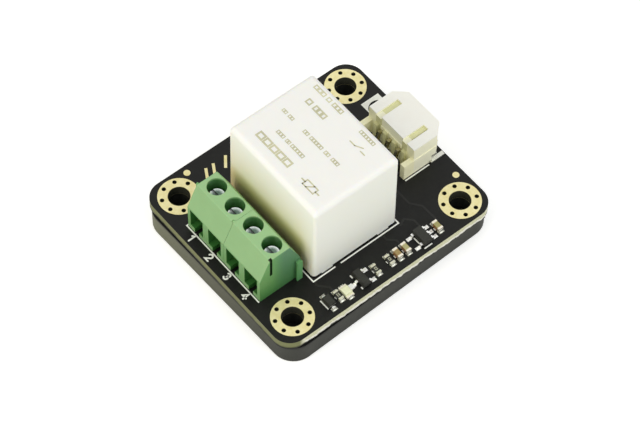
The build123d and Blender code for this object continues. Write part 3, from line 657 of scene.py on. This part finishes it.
class RelayLooks(PropertyGroup):
    """Finish of the relay."""
    case: tint("Case", "Ivory polyester of the case", "#FBFAF5")
    # The next two are painted shade on the wall by the terminals, yellow and then olive-brown at its foot.
    wall_shade: tint("Case, yellowed", "Lower wall by the terminals", "#F6EACF")
    foot: tint("Case, foot", "Olive-brown foot of that wall", "#E6D3A0")
    # Painted shade of the walls, against the top.
    wall: tint("Case, walls", "Slightly yellower walls of the case", "#F5F6EB")
    base: tint("Base", "Base plate and bobbin", "#D8D6C4")
    ink: tint("Ink", "Grey-olive print on the case", "#CDCAA8")
    wire: tint("Wire", "Enamelled copper wire", "#B5682F")
    iron: tint("Iron", "Zinc-plated iron", "#B9BAB6")
    bronze: tint("Bronze", "Contact springs and strips", "#C9A766")
    silver: tint("Silver", "Contact rivets", "#DDDDD8")
    wire_width: span("Wire width", "Spacing of the coil's turns, drawn coarse to show", 0.12)


class TerminalLooks(PropertyGroup):
    """Finish of the screw terminals."""
    plastic: tint("Plastic", "Green polyamide of the sloped fronts", "#8EB67D")
    # The next two are painted light, on the top and behind the ridge.
    top: tint("Plastic, top", "Paler green of the top", "#98C189")
    back: tint("Plastic, back", "Green behind the ridge", "#9CCB8C")
    # Painted shade on the pillars between the windows.
    front: tint("Plastic, front", "Green of the pillars between the windows", "#78A668")
    # Painted shade in the wells, the windows and at the foot.
    shade_green: tint("Plastic, deep", "Green in the wells, the windows and at the foot", "#36702F")
    # Painted shade inside the key slot.
    slot: tint("Plastic, slot", "Inside of the key slot", "#1C3319")
    # The next two are painted shade on the ends.
    end: tint("Plastic, ends", "Green of the shaded ends", "#70A967")
    end_rear_shade: tint("Plastic, ends, back", "Cooler green of the ends' rear", "#628E6C")
    rib: tint("Plastic, rib", "Green of the joining rib on the free end", "#5F9B60")
    screw: tint("Screw", "Nickel-plated steel", "#E6EDEB")
    # Painted reflection of the green plastic in the middle of the heads.
    screw_reflection: tint("Screw, middle", "Duller middle of the screw heads", "#84978F")
    clamp: tint("Clamp", "Zinc-plated steel of the wire clamps", "#A9ABA6")
    tin: tint("Tin", "Tinned contacts", "#C4C2B8")


class ConnectorLooks(PropertyGroup):
    """Finish of the three-pin connector."""
    plastic: tint("Plastic", "Ivory polyamide of the roof", "#FFFDF4")
    # The next three are painted shade: the sides, the front of the roof, and the slots and ribs.
    side: tint("Side", "Yellower plastic of the sides", "#FDFBDE")
    lip: tint("Lip", "Yellower front of the roof", "#FFFBD2")
    recess_shade: tint("Recess", "Yellower plastic in the slots and between the ribs", "#D9D6A2")
    # Painted shade at the bottom of the roof slots.
    web: tint("Web", "Thin plastic at the bottom of the roof slots", "#E6E5B2")
    contact: tint("Contact", "Tinned brass of the contacts", "#B9B28E")
    tab: tint("Tab", "Tinned solder tabs", "#D6D6CC")


class ChipLooks(PropertyGroup):
    """Finish of the small chips and their solder."""
    black: tint("Black", "Moulded epoxy", "#22231B")
    glaze: tint("Glaze", "Black glaze of the resistors", "#26261F")
    ceramic: tint("Ceramic", "Brown ceramic of the first capacitor", "#A48C58")
    ceramic_light: tint("Ceramic, light", "Tan ceramic of the second", "#B5B07A")
    ceramic_dull: tint("Ceramic, dull", "Olive-tan ceramic of the third", "#A9A267")
    # Painted shade on the flanks of the capacitors.
    flank_shade: tint("Ceramic, flank", "Browner flanks of the capacitors", "#94683C")
    lens: tint("Lens", "Clear resin of the indicator lamp", "#F0F2CC")
    cap: tint("Cap", "Tinned ends of the capacitors", "#F3ECDA")
    cap_resistor: tint("Cap, resistor", "Tinned ends of the resistors", "#D8D7C2")
    mark: tint("Mark", "Pale marks on the resistors", "#B3B49C")
    solder: tint("Solder", "Frosted solder at the leads", "#F6F6F2")
    solder_dull: tint("Solder, dull", "Thin solder at the chips", "#C8C8BC")
    pad_width: span("Pad width", "Width of the chips' pads", 0.86)
    pad_reach: span("Pad reach", "How far a pad runs out beyond its chip", 0.3)
    lead_pitch: span("Lead pitch", "Spacing of the leads of a package", 0.95)


class StageLooks(PropertyGroup):
    """Floor, light and camera."""
    floor: tint("Floor", "Plain white floor", "#F2F2F0")
    floor_glow: amount("Floor glow", "White that only the camera sees on the floor", 0.42, min=0.0, max=1.0)
    dome: amount("Dome", "Strength of the even studio light", 0.62, min=0.0)
    left: amount("Left lamp", "Power of the lamp at the terminals' side", 1.05, "POWER", min=0.0)
    right: amount("Right lamp", "Power of the lamp at the chips' side", 0.76, "POWER", min=0.0)
    lamp_size: span("Lamp size", "Side of each square lamp", 340)
    lens: amount("Lens", "Focal length of the camera", 153.34, "CAMERA", min=1.0)
    azimuth: turn("Azimuth", "Turn of the view from +Y", -40.625)
    elevation: turn("Elevation", "Height of the view over the floor", 56.98)
    roll: turn("Roll", "Tilt of the camera about its line of sight", 1.518)
    eye: FloatVectorProperty(name="Eye", description="Where the camera stands", unit="LENGTH", size=3,
                             precision=5, default=(-0.135484, -0.158097, 0.321997))


# Signs: strokes in a unit square, drawn with the ribbon

NUMBERS = {
    1: [[(0.12, 0.78), (0.38, 1.0), (0.38, 0.0)]],
    2: [np.vstack([arc(0.32, 0.7, 0.29, 170, -30), [(0.04, 0.0), (0.64, 0.0)]])],
    3: [np.vstack([arc(0.3, 0.74, 0.25, 150, -80, 8), arc(0.3, 0.27, 0.28, 80, -150, 8)])],
    4: [[(0.48, 0.0), (0.48, 1.0), (0.04, 0.3), (0.68, 0.3)]],
}
COIL_SIGN = [[(0.0, 0.15), (0.0, 0.85), (1.6, 0.85), (1.6, 0.15), (0.0, 0.15)],
             [(0.5, 0.15), (1.1, 0.85)], [(-0.5, 0.5), (0.0, 0.5)], [(1.6, 0.5), (2.1, 0.5)]]
SWITCH_SIGN = [[(-0.2, 0.5), (0.6, 0.5)], [(0.6, 0.5), (1.5, 1.0)], [(1.6, 0.5), (2.3, 0.5)]]


def frame_row(x, y_start, y_end, count, height, stroke, z0, z1):
    """A row of open frames along -Y, as plain as the boxes of an empty form.

    The row is cut into equal steps, and a frame takes three quarters of its step."""
    step = (y_start - y_end) / count
    half = height / 2
    starts = [y_start - i * step for i in range(count)]
    return [frame_band(x - half, x + half, y - 0.75 * step, y, stroke, z0, z1) for y in starts]


def draw_sign(strokes, x, y, size, width, z0, z1):
    """Strokes read along -Y with their tops towards +X, from the corner x, y."""
    quarter_turn = [[0, -1], [1, 0]]
    return [ribbon(np.array(stroke) * size @ quarter_turn + (x, y), width, z0, z1, round_ends=True)
            for stroke in strokes]


# Operators


class RELAYBOARD_OT_dress_board(Operator):
    """Finish the board, its mounting pads and its bare gold marks"""
    bl_idname = "relayboard.dress_board"
    bl_label = "Dress Board"

    def execute(self, context):
        looks = context.scene.relay_board
        dress(laminate_board(looks), "circuit_board")
        gold = immersion_gold(looks)
        dress(gold, "mounting_pads")
        z0, z1 = BOARD_TOP, BOARD_TOP + 0.03
        dot_radius, bar_width = 0.5, 0.42
        dot = [(0, z0), (dot_radius, z0), (dot_radius, z1), (0, z1)]
        skins = [revolve(dot, x, y) for x, y in ((-11.74, 14.92), (17.36, -8.9))]
        skins += [ribbon([(x, 12.2), (x + lean, 13.9)], bar_width, z0, z1)
                  for x, lean in ((-10.2, 1.0), (-8.9, 1.0), (-7.0, 1.3))]
        add_piece("alignment_dots", skins, gold)
        return {"FINISHED"}


class RELAYBOARD_OT_lay_traces(Operator):
    """Raise the mask over the copper traces, as low ribbons"""
    bl_idname = "relayboard.lay_traces"
    bl_label = "Lay Traces"

    def execute(self, context):
        looks = context.scene.relay_board
        over_copper = moulded_plastic("Solder mask over copper", looks.over_copper, 0.4, 0.1, 0.003,
                                      Specular_IOR_Level=0.33)
        row, thin, wide = CHIP_ROW_Y, 0.3, 0.6
        routes = [
            (thin, [(10.4, -2.0), (9.2, -3.2), (9.2, -8.4), (10.35, -9.9), (10.4, -12.9)]),
            (thin, [(5.9, -10.4), (6.95, -9.93), (7.9, -11.0), (7.9, row + 1.2)]),
            (thin, [(3.9, row + 0.9), (3.9, -12.0), (2.9, -11.0), (2.9, -10.2)]),
            (thin, [(-8.1, row + 0.9), (-8.1, -12.0), (-9.2, -10.9), (-9.2, -10.2)]),
            (wide, [(7.6, 9.6), (9.4, 11.4), (11.2, 11.4)]),
            (thin, [(7.6, 7.8), (10.9, 7.8), (12.4, 6.3)]),
            (wide, [(-6.5, 10.0), (-6.5, 11.0), (-4.9, 12.6), (4.0, 12.6), (5.4, 11.2), (5.4, 9.6)]),
            (thin, [(10.9, 2.0), (9.6, 3.3), (9.6, 5.4), (8.6, 6.4)]),
        ]
        skins = [ribbon(path, width, BOARD_TOP - 0.01, BOARD_TOP + 0.012, round_ends=True)
                 for width, path in routes]
        add_piece("mask_over_traces", skins, over_copper)
        return {"FINISHED"}


class RELAYBOARD_OT_print_board(Operator):
    """Print the outlines and the plain way numbers in white ink"""
    bl_idname = "relayboard.print_board"
    bl_label = "Print Board"

    def execute(self, context):
        looks = context.scene.relay_board
        ink = moulded_plastic("White epoxy ink", looks.ink, 0.5, 0.05, 0.003)
        z0, z1 = BOARD_TOP, BOARD_TOP + looks.print_height / MM
        front = TERMINAL_FRONT - 0.16
        left, right = RELAY_LOW[0] - 0.28, RELAY_HIGH[0] + 0.1
        near, far = RELAY_LOW[1] - 0.33, RELAY_HIGH[1] + 0.3
        lines = [
            [(front + 0.5, 8.02), (front, 8.02), (front, -7.9)],
            [(-5.4, near), (left, near), (left, far), (right, far), (right, near), (-4.43, near)],
            [(11.2, -5.22), (15.6, -5.22)],
            [(11.2, 5.22), (15.6, 5.22)],
            [(-10.46, -12.92), (-10.46, -14.63)],
            [(-4.75, -12.35), (-4.75, -12.9)],
            [(-4.75, -14.7), (-4.75, -15.1)],
            [(5.98, -13.18), (5.98, -14.36)],
            [(6.0, -15.42), (7.4, -15.42)],
        ]
        skins = [ribbon(line, looks.ink_width / MM, z0, z1) for line in lines]
        bar_width, aside = 0.13, 0.47
        bar_start, bar_end = CHIP_ROW_Y - 0.22, CHIP_ROW_Y + 0.22
        for node in ROW_CHIPS:
            for x in (centre(node)[0] - aside, centre(node)[0] + aside):
                skins.append(ribbon([(x, bar_start), (x, bar_end)], bar_width, z0, z1))
        height, stroke = looks.number_height / MM, 0.26
        foot = front - 0.23 - height
        for number, y in enumerate(WAY_Y, 1):
            skins += draw_sign(NUMBERS[number], foot, y + 0.35 * height, height, stroke, z0, z1)
        label = np.vstack([[(14.7, 6.5), (14.7, 8.68), (17.85, 8.68), (17.85, 6.5)],
                           arc(16.25, 6.56, 1.5, 0, 180, 16)])
        skins.append(sweep(np.stack([np.column_stack([label, np.full(len(label), z)]) for z in (z0, z1)])))
        add_piece("white_print", skins, ink)
        return {"FINISHED"}


class RELAYBOARD_OT_break_edge(Operator):
    """Roughen the front side of the board, where it was snapped from its panel"""
    bl_idname = "relayboard.break_edge"
    bl_label = "Break Edge"

    def execute(self, context):
        """Stands a grid of x by z out from the side by a bulge, waves of random length and slope,
        and grain, which fade towards all four edges, and closes it behind with a flat back."""
        x0, x1 = -15.7, 16.6
        z0, z1 = BOARD_LOW[2] + 0.04, BOARD_TOP - 0.06
        side = BOARD_LOW[1]
        columns, rows, wave_count = 700, 12, 24
        least, belly, ripple, grain = 0.03, 0.1, 0.05, 0.12
        fade_x, fade_z, rim_share = 0.8, 0.25, 0.35
        gap, least_gap, back_depth = 0.01, 0.004, 0.15
        x, z = np.meshgrid(np.linspace(x0, x1, columns), np.linspace(z0, z1, rows), indexing="ij")
        rng = np.random.default_rng(7)
        phases = rng.uniform(0, 2 * np.pi, wave_count)
        counts = rng.uniform(0.7, 9.0, wave_count)
        slopes = rng.uniform(-3, 3, wave_count)
        rough = sum(np.sin(x * count + z * slope + phase) / (1 + count * 0.35)
                    for count, slope, phase in zip(counts, slopes, phases))
        rough = rough / np.abs(rough).max()
        rough += rng.normal(0, grain, rough.shape)
        fade = np.minimum(1, np.minimum(x - x0, x1 - x) / fade_x)
        edge = np.minimum(1, np.minimum(z - z0, z1 - z) / fade_z)
        down = (z1 - z) / (z1 - z0)
        bulge = np.sin(np.pi * np.clip(down / 1.15, 0, 1)) ** 2
        stand = least + belly * bulge * (1 + 0.75 * rough) + ripple * rough
        out = np.minimum(side - stand * fade * (rim_share + (1 - rim_share) * edge) - gap, side - least_gap)
        face = np.stack([x, out, z], axis=-1)
        back = np.stack([x, np.full_like(x, side + back_depth), z], axis=-1)
        sections = np.concatenate([face, back[:, ::-1]], axis=1)
        finish = snapped_laminate(context.scene.relay_board)
        add_piece("snapped_edge", [sweep(sections)], finish)
        return {"FINISHED"}


class RELAYBOARD_OT_dress_cover(Operator):
    """Finish the insulating cover, and turn a thin lip at the foot of each of its screw holes"""
    bl_idname = "relayboard.dress_cover"
    bl_label = "Dress Cover"

    def execute(self, context):
        cover = moulded_cover(context.scene.relay_cover)
        dress(cover, "bottom_cover")
        inner, outer, z0, z1 = 1.62, 1.97, 0.08, 0.7
        lip = [(inner, z0), (outer, z0), (outer, z1), (inner, z1)]
        skins = [revolve(lip, x, y, 48) for x in (-HOLE_X, HOLE_X) for y in (-HOLE_Y, HOLE_Y)]
        add_piece("hole_lips", skins, cover)
        return {"FINISHED"}


class RELAYBOARD_OT_dress_relay(Operator):
    """Finish the relay inside and out, and print its top with plain signs"""
    bl_idname = "relayboard.dress_relay"
    bl_label = "Dress Relay"

    def execute(self, context):
        looks = context.scene.relay_relay
        dress(moulded_case(looks), "relay_case")
        dress(moulded_plastic("Moulded polyester, base", looks.base, 0.5, 0.1, 0.01),
              "relay_base", "coil_bobbin")
        dress(wound_wire(looks), "coil_winding")
        dress_metals(
            ("Zinc-plated pressed iron", looks.iron, 0.3, 0.15, 0.006, "iron_core", "yoke", "armature"),
            ("Rolled spring bronze", looks.bronze, 0.25, 0.1, 0.003, "contact_leaf", "closed_contact",
             "open_contact", "common_pin"),
            ("Silver alloy rivet", looks.silver, 0.18, 0.1, 0.003, "moving_rivet", "closed_rivet",
             "open_rivet"),
            ("Tinned copper pin", looks.silver, 0.25, 0.1, 0.003, "coil_pin"),
        )
        ink = moulded_plastic("Grey-olive pad-printed ink", looks.ink, 0.5, 0.05, 0.002, 0.16)
        z0, z1 = RELAY_TOP - 0.002, RELAY_TOP + 0.006
        rows = [
            (-6.35, 1.15, 0.28, [(5.5, -1.5, 5)]),
            (-4.15, 0.6, 0.14, [(4.2, 2.7, 3), (2.3, 1.5, 2), (1.2, -1.4, 5)]),
            (-1.35, 0.55, 0.14, [(6.5, 5.6, 2), (5.2, 4.2, 2)]),
            (-1.35, 0.6, 0.14, [(2.0, 1.0, 2), (0.6, -1.9, 5), (-2.4, -3.4, 2), (-3.9, -5.3, 3)]),
            (2.2, 0.95, 0.23, [(5.6, 4.6, 1), (4.1, 1.7, 3)]),
            (4.5, 0.75, 0.18, [(6.75, 4.5, 3), (4.1, 3.3, 1), (2.9, 0.9, 3)]),
            (4.5, 0.6, 0.14, [(-2.8, -5.8, 6)]),
        ]
        skins = [skin for x, height, stroke, groups in rows for group in groups
                 for skin in frame_row(x, *group, height - stroke, stroke, z0, z1)]
        skins += draw_sign(COIL_SIGN, -7.1, -4.45, 1.35, 0.2, z0, z1)
        skins += draw_sign(SWITCH_SIGN, 1.8, -3.4, 1.2, 0.19, z0, z1)
        add_piece("case_print", skins, ink)
        return {"FINISHED"}


class RELAYBOARD_OT_dress_terminals(Operator):
    """Finish the screw terminals"""
    bl_idname = "relayboard.dress_terminals"
    bl_label = "Dress Terminals"

    def execute(self, context):
        looks = context.scene.relay_terminals
        dress(moulded_terminal(looks), "terminal_housing")
        dress(turned_screw(looks), "terminal_screw")
        dress_metals(("Zinc-plated pressed steel", looks.clamp, 0.32, 0.12, 0.008, "wire_clamp"),
                     ("Tinned brass strip", looks.tin, 0.3, 0.1, 0.004, "terminal_contact"))
        return {"FINISHED"}


class RELAYBOARD_OT_dress_connector(Operator):
    """Finish the three-pin connector, close its roof slots and solder its contacts"""
    bl_idname = "relayboard.dress_connector"
    bl_label = "Dress Connector"

    def execute(self, context):
        looks = context.scene.relay_connector
        dress(moulded_connector(looks), "connector_housing")
        dress_metals(("Tinned brass pin", looks.contact, 0.25, 0.08, 0.003, "connector_contact"),
                     ("Tinned steel tab", looks.tab, 0.3, 0.08, 0.004, "solder_tab"))
        # The webs are painted yellower: painted shade at the bottom of the slots.
        web = moulded_plastic("Moulded polyamide, thin web", looks.web, 0.45, 0.08, 0.004)
        x0, z0 = CONNECTOR_REAR + 1.11, CONNECTOR_HIGH[2] - 0.74
        x1, z1 = x0 + 2.78, z0 + 0.36
        webs = [ribbon([(x0, y), (x1, y)], width, z0, z1)
                for y, width in ((SLOT_Y, 0.98), (0.14 - SLOT_Y, 0.7))]
        add_piece("roof_webs", webs, web)
        solder = plated_metal("Reflowed solder at the contacts", looks.tab, 0.3, 0.2, 0.008, 0.6)
        outer_reach, inner_reach, pad_width = 0.35, 1, 0.75
        foot, rise, solder_width = 0.32, 0.2, 0.6
        skins = []
        for i in (1, 2, 3):
            node = f"connector_contact_{i}"
            x, y = corners(node)[0][0], centre(node)[1]
            skins += [ribbon([(x - outer_reach, y), (x + inner_reach, y)], pad_width, BOARD_TOP, PAD_TOP),
                      fillet_skin(x, y, "x", -foot, rise, solder_width, PAD_TOP)]
        add_piece("contact_pads", skins, solder)
        return {"FINISHED"}


class RELAYBOARD_OT_dress_chips(Operator):
    """Finish the small chips, and put pads, solder and plain marks at them"""
    bl_idname = "relayboard.dress_chips"
    bl_label = "Dress Chips"

    def execute(self, context):
        looks = context.scene.relay_chips
        for node in RESISTORS:
            dress(capped_chip(f"Tinned ceramic {node}", node, looks.glaze, looks.cap_resistor), node)
        ceramics = (looks.ceramic, looks.ceramic_light, looks.ceramic_dull)
        for node, ceramic in zip(CAPACITORS, ceramics):
            dress(capped_chip(f"Tinned ceramic {node}", node, ceramic, looks.cap, flank_shade=looks.flank_shade), node)
        node = "indicator_led"
        dress(capped_chip("Resin lamp", node, looks.lens, looks.cap, cap=0.26, roughness=0.2,
                          metallic=0.2), node)
        for node, axis, half_body in (("diode", 1, 0.86), ("transistor", 0, 0.66), ("regulator", 0, 0.81)):
            dress(tinned_chip(f"Moulded {node}", node, axis, half_body, looks.black, looks.solder), node)
        solder = plated_metal("Reflowed solder, frosted", looks.solder, 0.3, 0.2, 0.008, 0.45)
        dull = plated_metal("Reflowed solder, thin", looks.solder_dull, 0.24, 0.25, 0.02, 0.8)
        dress(solder, "solder_joints")
        self.solder_chips(looks, dull)
        self.solder_leads(looks, solder)
        self.mark_resistors(looks)
        return {"FINISHED"}

    def mark_resistors(self, looks):
        """A small pale frame on each resistor, and two bars on the first."""
        ink = moulded_plastic("Pale marking ink", looks.mark, 0.5, 0.05, 0.002)
        half_bar, bar_width = 0.26, 0.12
        half_x, half_y, stroke = 0.14, 0.2, 0.1
        skins = []
        for node in RESISTORS:
            x, y, _ = centre(node)
            top = corners(node)[1][2]
            z0, z1 = top - 0.01, top + 0.008
            if node == RESISTORS[0]:
                skins += [ribbon([(x + side, y - half_bar), (x + side, y + half_bar)], bar_width, z0, z1)
                          for side in (-0.17, 0.1)]
            else:
                skins.append(frame_band(x - half_x, x + half_x, y - half_y, y + half_y, stroke, z0, z1))
        add_piece("resistor_marks", skins, ink)

    def solder_chips(self, looks, solder):
        """A pad and a meniscus of solder at each end of each chip."""
        reach = looks.pad_reach / MM
        inner_reach, side_margin, highest = 0.3, 0.06, 0.45
        pads = []
        menisci = []
        for node in (*ROW_CHIPS, "indicator_led", "diode"):
            low, high = corners(node)
            x = centre(node)[0]
            size = min(looks.pad_width / MM, high[0] - low[0] + side_margin)
            rise = min((high[2] - low[2]) * 0.75, highest)
            for y, side in ((low[1], -1), (high[1], 1)):
                path = [(x, y - side * inner_reach), (x, y + side * reach)]
                pads.append(ribbon(path, size, BOARD_TOP, PAD_TOP))
                menisci.append(fillet_skin(x, y, "y", side * reach * 0.95, rise, size * 0.94, PAD_TOP))
        add_piece("chip_pads", pads, solder)
        add_piece("chip_menisci", menisci, solder, smooth=True)

    def solder_leads(self, looks, solder):
        """A pad and a meniscus of solder at each lead of the transistor and the regulator, and the
        larger pad left of the transistor."""
        inner_reach, outer_reach, large_reach = 0.4, 0.34, 0.75
        tuck, foot, rise = 0.06, 0.36, 0.16
        pads = []
        menisci = []
        for node, size, left, right in (("transistor", 0.6, (0,), (-1, 1)),
                                        ("regulator", 0.52, (-1, 1), (-1, 0, 1))):
            low, high = corners(node)
            for x, side, rows in ((low[0], -1, left), (high[0], 1, right)):
                for row in rows:
                    y = CHIP_ROW_Y + row * looks.lead_pitch / MM
                    path = [(x - side * inner_reach, y), (x + side * outer_reach, y)]
                    pads.append(ribbon(path, size, BOARD_TOP, LEAD_PAD_TOP))
                    menisci.append(fillet_skin(x - side * tuck, y, "x", side * foot, rise, size * 0.85,
                                               LEAD_PAD_TOP))
        x = corners("transistor")[0][0]
        path = [(x - large_reach, CHIP_ROW_Y), (x, CHIP_ROW_Y)]
        pads.append(ribbon(path, looks.pad_width / MM, BOARD_TOP, LEAD_PAD_TOP + 0.1))
        add_piece("lead_pads", pads, solder)
        add_piece("lead_menisci", menisci, solder, smooth=True)


class RELAYBOARD_OT_set_stage(Operator):
    """Add the white floor, the soft light and the camera"""
    bl_idname = "relayboard.set_stage"
    bl_label = "Set Stage"

    def execute(self, context):
        scene = context.scene
        looks = scene.relay_stage
        scene.view_settings.view_transform = "Standard"
        self.add_floor(looks)
        self.add_world(looks)
        self.add_lamp("left_lamp", (-0.42, 0.04, 0.34), looks.left, "#FFFBEA", looks.lamp_size)
        self.add_lamp("right_lamp", (0.10, -0.42, 0.34), looks.right, "#FAFDFF", looks.lamp_size)
        camera = link_object("camera", bpy.data.cameras.new("camera"))
        camera.data.lens = looks.lens
        camera.data.clip_start = 0.01
        camera.matrix_world = (Matrix.Translation(looks.eye) @ Matrix.Rotation(looks.azimuth, 4, "Z")
                               @ Matrix.Rotation(math.pi / 2 - looks.elevation, 4, "X")
                               @ Matrix.Rotation(looks.roll, 4, "Z"))
        scene.camera = camera
        return {"FINISHED"}

    def add_floor(self, looks):
        """A large plain sheet under the object, with a little white that only the camera sees."""
        half = 3.0
        mesh = bpy.data.meshes.new("floor")
        mesh.from_pydata([(-half, -half, 0), (half, -half, 0), (half, half, 0), (-half, half, 0)], [],
                         [(0, 1, 2, 3)])
        material = bpy.data.materials.new("White paper floor")
        paper = Nodes(material)
        seen = paper.node("LightPath").outputs["Is Camera Ray"]
        strength = paper.reckon("MULTIPLY", seen, looks.floor_glow)
        glow = paper.node("Emission", {"Color": (1, 1, 1), "Strength": strength})
        diffuse = paper.node("BsdfDiffuse", {"Color": looks.floor})
        paper.node("OutputMaterial", {"Surface": paper.node("AddShader", {0: diffuse, 1: glow})})
        mesh.materials.append(material)
        floor = link_object("floor", mesh)

    def add_world(self, looks):
        """An even white dome, at full white where the camera or a reflection sees it."""
        world = bpy.data.worlds.new("Studio dome")
        dome = Nodes(world)
        rays = dome.node("LightPath").outputs
        seen = rays["Is Camera Ray"]
        for kind in ("Is Glossy Ray", "Is Transmission Ray"):
            seen = dome.reckon("MAXIMUM", seen, rays[kind])
        strength = dome.node("MapRange", {"Value": seen, 3: looks.dome, 4: 1.0})
        sky = dome.node("Background", {"Color": (1, 1, 1), "Strength": strength})
        dome.node("OutputWorld", {"Surface": sky})
        bpy.context.scene.world = world

    def add_lamp(self, name, place, power, colour, size):
        """A square lamp that faces the middle of the object."""
        lamp = bpy.data.lights.new(name, "AREA")
        lamp.size = size
        lamp.energy = power
        lamp.color = linear(colour)
        holder = link_object(name, lamp)
        holder.location = place
        aim = Vector((0, 0, 8 * MM)) - holder.location
        holder.rotation_euler = aim.to_track_quat("-Z", "Y").to_euler()


class RELAYBOARD_PT_panel(Panel):
    """Lists the pieces and their settings in the 3D view's sidebar"""
    bl_idname = "RELAYBOARD_PT_panel"
    bl_label = "Relay Board"
    bl_space_type = "VIEW_3D"
    bl_region_type = "UI"
    bl_category = "Relay Board"

    def draw(self, context):
        for operator in OPERATORS:
            self.layout.operator(operator.bl_idname)
        for name in SETTINGS:
            group = getattr(context.scene, name)
            box = self.layout.box()
            for key in group.__annotations__:
                box.prop(group, key)


SETTINGS = {
    "relay_board": BoardLooks,
    "relay_cover": CoverLooks,
    "relay_relay": RelayLooks,
    "relay_terminals": TerminalLooks,
    "relay_connector": ConnectorLooks,
    "relay_chips": ChipLooks,
    "relay_stage": StageLooks,
}
OPERATORS = (
    RELAYBOARD_OT_dress_board,
    RELAYBOARD_OT_lay_traces,
    RELAYBOARD_OT_print_board,
    RELAYBOARD_OT_break_edge,
    RELAYBOARD_OT_dress_cover,
    RELAYBOARD_OT_dress_relay,
    RELAYBOARD_OT_dress_terminals,
    RELAYBOARD_OT_dress_connector,
    RELAYBOARD_OT_dress_chips,
    RELAYBOARD_OT_set_stage,
)
CLASSES = (*SETTINGS.values(), *OPERATORS, RELAYBOARD_PT_panel)


def register():
    for made in CLASSES:
        bpy.utils.register_class(made)
    for name, group in SETTINGS.items():
        setattr(Scene, name, PointerProperty(type=group))


def unregister():
    for name in SETTINGS:
        delattr(Scene, name)
    for made in reversed(CLASSES):
        bpy.utils.unregister_class(made)


def main():
    """Registers the classes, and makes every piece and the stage."""
    register()
    bpy.ops.relayboard.dress_board()
    bpy.ops.relayboard.lay_traces()
    bpy.ops.relayboard.print_board()
    bpy.ops.relayboard.break_edge()
    bpy.ops.relayboard.dress_cover()
    bpy.ops.relayboard.dress_relay()
    bpy.ops.relayboard.dress_terminals()
    bpy.ops.relayboard.dress_connector()
    bpy.ops.relayboard.dress_chips()
    bpy.ops.relayboard.set_stage()


if __name__ == "__main__":
    main()
